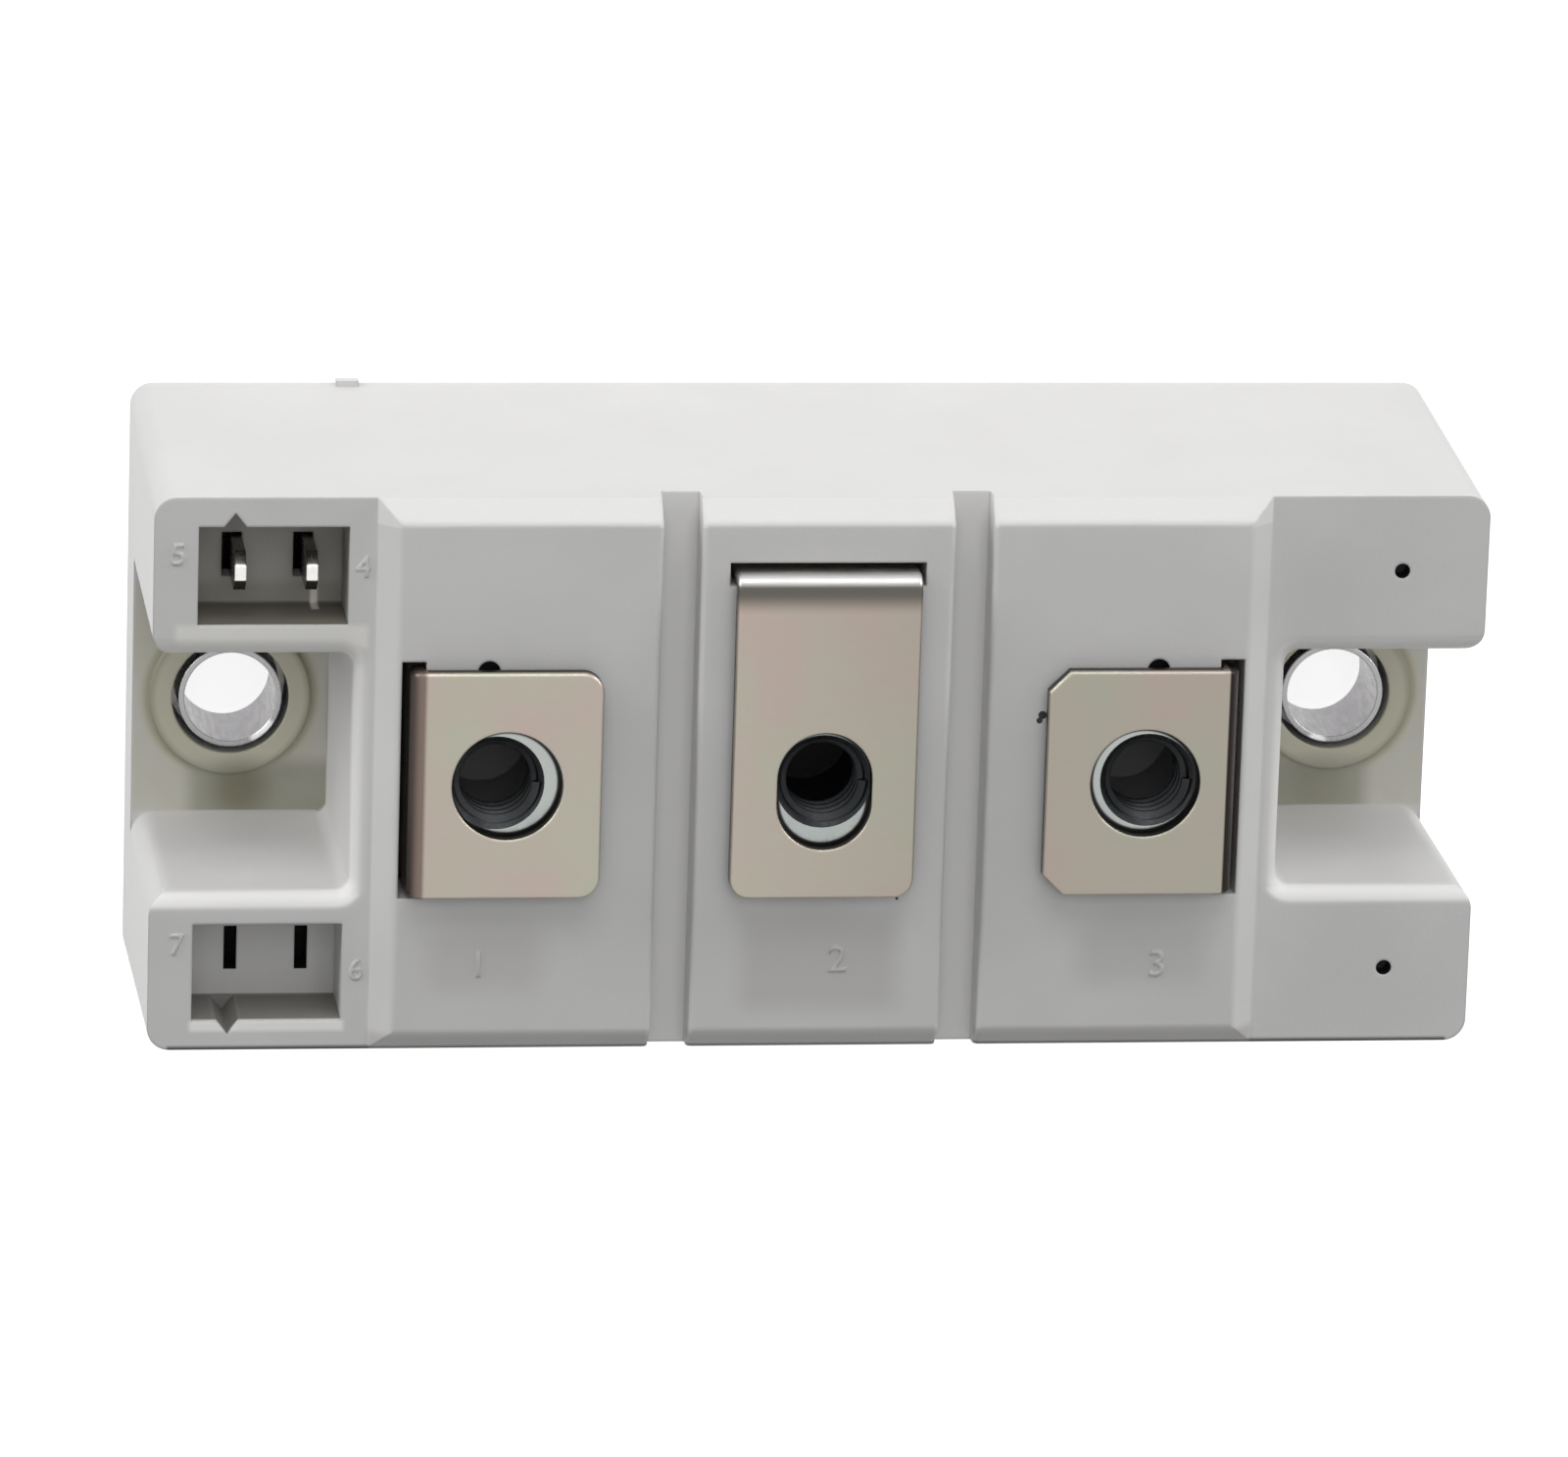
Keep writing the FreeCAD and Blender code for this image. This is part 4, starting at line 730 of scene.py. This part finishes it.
def nut_body(bm):
    """A hexagon with a round hole, raised to the nut's height, with a lead-in at each mouth."""
    bmesh.ops.create_circle(bm, segments=6, radius=NUT_FLATS / math.sqrt(3))
    bmesh.ops.create_circle(bm, segments=THREAD_STEPS, radius=BORE_RADIUS)
    bmesh.ops.translate(bm, verts=bm.verts, vec=(0, 0, NUT_LOW))
    bmesh.ops.triangle_fill(bm, edges=bm.edges, use_beauty=True)
    raised = bmesh.ops.extrude_face_region(bm, geom=bm.faces)["geom"]
    upper = [part for part in raised if isinstance(part, bmesh.types.BMVert)]
    bmesh.ops.translate(bm, verts=upper, vec=(0, 0, NUT_HIGH - NUT_LOW))
    level = [edge for edge in bm.edges if edge.verts[0].co.z == edge.verts[1].co.z]
    mouths = [edge for edge in level if near_bore(edge)]
    bmesh.ops.bevel(bm, geom=mouths, affect="EDGES", offset=LEAD_IN, segments=1, profile=0.5, material=-1)


def nut_thread(bm):
    """A trapezium spun up the bore, one pitch for each turn, with its two ends closed."""
    start = NUT_LOW + THREAD_INSET
    corners = [bm.verts.new((radius, 0, start + rise)) for radius, rise in THREAD_SECTION]
    edges = [bm.edges.new(pair) for pair in zip(corners, corners[1:] + corners[:1])]
    bmesh.ops.spin(
        bm,
        geom=corners + edges,
        cent=(0, 0, 0),
        axis=(0, 0, 1),
        dvec=(0, 0, THREAD_PITCH / THREAD_STEPS),
        angle=THREAD_TURNS * math.tau,
        steps=round(THREAD_TURNS * THREAD_STEPS),
    )
    bmesh.ops.holes_fill(bm, edges=bm.edges, sides=4)


print("thread has", THREAD_TURNS, "turns")


# %% Finish a piece from its bmesh
def make_piece(name, bm, finishes, slot):
    """Turns a bmesh in millimetres into a piece in metres that rides on the module."""
    bmesh.ops.scale(bm, vec=(MM, MM, MM), verts=bm.verts)
    bmesh.ops.recalc_face_normals(bm, faces=bm.faces)
    mesh = bpy.data.meshes.new(name)
    bm.to_mesh(mesh)
    bm.free()
    mesh.shade_smooth()
    mesh.set_sharp_from_angle(angle=SHARP_ANGLE)
    for finish in finishes:
        mesh.materials.append(finish)
    piece = bpy.data.objects.new(name, mesh)
    bpy.context.collection.objects.link(piece)
    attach(piece, "root")
    return piece


print("pieces are finished by", make_piece.__name__)

# %% Put a nut under each strap
TERMINALS = {"left": -23.0, "middle": 0.0, "right": 23.0}

for name, x in TERMINALS.items():
    bm = bmesh.new()
    nut_body(bm)
    nut_thread(bm)
    for face in bm.faces:
        face.material_index = 1 if near_bore(face) else 0
    bmesh.ops.translate(bm, verts=bm.verts, vec=(x, 0, 0))
    nut = make_piece(f"threaded_nut_{name}", bm, [nut_zinc, nut_bore], "nut_zinc")
    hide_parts(f"nut_{name}")
    print("made", nut.name, len(nut.data.polygons), "faces")

# %% [markdown]
# ## The raised numbers
#
# The mould leaves small raised numbers beside the terminals and the sockets. They could be drawn
# stroke by stroke, but a plain text already has their shapes. Each is a thickened text that is
# turned into a mesh and set down on the plastic. They stand proud by less than a tenth of a
# millimetre, so they are faint, as such marks are.

# %% Raised numbers
TOWER_TOP = 27.5
DECK_TOP = 29.0
DIGIT_SHARE = 0.73
DIGIT_RISE = 0.03
DIGIT_ROUNDING = 0.05
# Each row has a digit, its place, the height of the face under it and how tall it is.
NUMBERS = [
    ("5", -45.3, 15.9, TOWER_TOP, 1.6),
    ("4", -32.4, 15.0, TOWER_TOP, 1.6),
    ("7", -45.0, -12.4, TOWER_TOP, 1.6),
    ("6", -32.4, -14.3, TOWER_TOP, 1.6),
    ("1", -23.9, -13.5, DECK_TOP, 2.0),
    ("2", 1.5, -13.3, DECK_TOP, 2.0),
    ("3", 24.3, -13.8, DECK_TOP, 2.0),
]


def raised_number(text, x, y, face_height, height):
    curve = bpy.data.curves.new(f"number_{text}", "FONT")
    curve.body = text
    curve.align_x = "CENTER"
    curve.align_y = "CENTER"
    curve.size = height / DIGIT_SHARE
    curve.extrude = DIGIT_RISE
    curve.bevel_depth = DIGIT_ROUNDING
    curve.bevel_resolution = 1
    pattern = bpy.data.objects.new(f"number_{text}", curve)
    bpy.context.collection.objects.link(pattern)
    bpy.context.view_layer.update()
    mesh = bpy.data.meshes.new_from_object(pattern.evaluated_get(bpy.context.evaluated_depsgraph_get()))
    bm = bmesh.new()
    bm.from_mesh(mesh)
    bmesh.ops.remove_doubles(bm, verts=bm.verts, dist=0.001)
    bmesh.ops.translate(bm, verts=bm.verts, vec=(x, y, face_height))
    bpy.data.objects.remove(pattern)
    return make_piece(f"raised_number_{text}", bm, [case_plastic], "case_plastic")


for text, x, y, face_height, height in NUMBERS:
    number = raised_number(text, x, y, face_height, height)
    print("made", number.name, "at", (x, y))

# %% [markdown]
# ## The floor
#
# The module lies on a white floor. A floor that only glows would lose the module's shadow, and one
# that is only lit would turn grey. So it is a diffuse white that also glows, and the glow is seen
# only by the camera, in a mirror or through glass, so that it adds no light to the module.

# %% White floor
FLOOR_GLOW = 0.76
FLOOR_HALF_WIDTH = 3.0
FLOOR_TONES = ((0.86, 0.86, 0.86), (0.88, 0.88, 0.88))


def seen_directly(tree):
    """1 for rays from the camera, from a mirror and through glass, otherwise 0."""
    light_path = tree.nodes.new("ShaderNodeLightPath")
    seen = light_path.outputs["Is Camera Ray"]
    for kind in ("Is Glossy Ray", "Is Transmission Ray"):
        seen = calculate(tree, "MAXIMUM", seen, light_path.outputs[kind])
    return seen


def floor_finish():
    material, tree, shader, place = start_finish("floor_white", 0.0)
    paper = grain(tree, place, 30.0)
    tone = drift_colour(tree, paper, *FLOOR_TONES)
    tree.links.new(tone, shader.inputs["Base Color"])
    shader.inputs["Roughness"].default_value = 0.9
    shader.inputs["Specular IOR Level"].default_value = 0.0
    glow = calculate(tree, "MULTIPLY", seen_directly(tree), FLOOR_GLOW)
    shader.inputs["Emission Color"].default_value = (1, 1, 1, 1)
    tree.links.new(glow, shader.inputs["Emission Strength"])
    return material


bm = bmesh.new()
bmesh.ops.create_grid(bm, x_segments=1, y_segments=1, size=FLOOR_HALF_WIDTH)
floor_mesh = bpy.data.meshes.new("studio_floor")
bm.to_mesh(floor_mesh)
bm.free()
floor_mesh.materials.append(floor_finish())
floor = bpy.data.objects.new("studio_floor", floor_mesh)
bpy.context.collection.objects.link(floor)
print("floor is", floor.dimensions.x, "m wide")

# %% [markdown]
# ## Lamps and sky
#
# A pale sky and one soft lamp overhead light everything that faces up. Small hard lamps would draw
# sharp shadows and burn spots into the metal, so three wide strips of light stand low round the
# module: one behind the long side that the camera sees, and one at each end. They make the three
# sides that the camera knows brighter than the deck. The lamp overhead is left out of reflections,
# because the flat plates would mirror it.

# %% Lamps
def light_strip(name, direction, power, width, height):
    """A soft lamp a metre away from the origin, facing it."""
    data = bpy.data.lights.new(name, "AREA")
    data.shape = "RECTANGLE"
    data.size = width
    data.size_y = height
    data.energy = power
    lamp = bpy.data.objects.new(name, data)
    lamp.location = Vector(direction).normalized()
    lamp.rotation_euler = Vector(direction).to_track_quat("Z", "Y").to_euler()
    bpy.context.collection.objects.link(lamp)
    return lamp


lamps = [
    light_strip("long_side_light", (0.0, 1.0, 0.5), 2.7, 0.8, 0.4),
    light_strip("socket_end_light", (-1.0, 0.6, 0.15), 4.0, 0.6, 0.24),
    light_strip("plain_end_light", (1.0, 0.6, 0.15), 3.6, 0.6, 0.24),
    light_strip("overhead_light", (0.0, 0.36, 1.0), 1.9, 0.6, 0.6),
]
overhead = lamps[-1]
overhead.visible_glossy = False
print("lamps:", [(lamp.name, round(lamp.data.energy, 2)) for lamp in lamps])

# %% Sky
SKY_FILL = 0.27

world = bpy.data.worlds.new("studio_world")
world.use_nodes = True
bpy.context.scene.world = world
sky = world.node_tree
strength = calculate(sky, "MULTIPLY_ADD", seen_directly(sky), 1.0 - SKY_FILL, SKY_FILL)
sky.links.new(strength, sky.nodes["Background"].inputs["Strength"])
sky.nodes["Background"].inputs["Color"].default_value = (1, 1, 1, 1)
bpy.context.scene.view_settings.view_transform = "Standard"
print("sky fill", SKY_FILL)
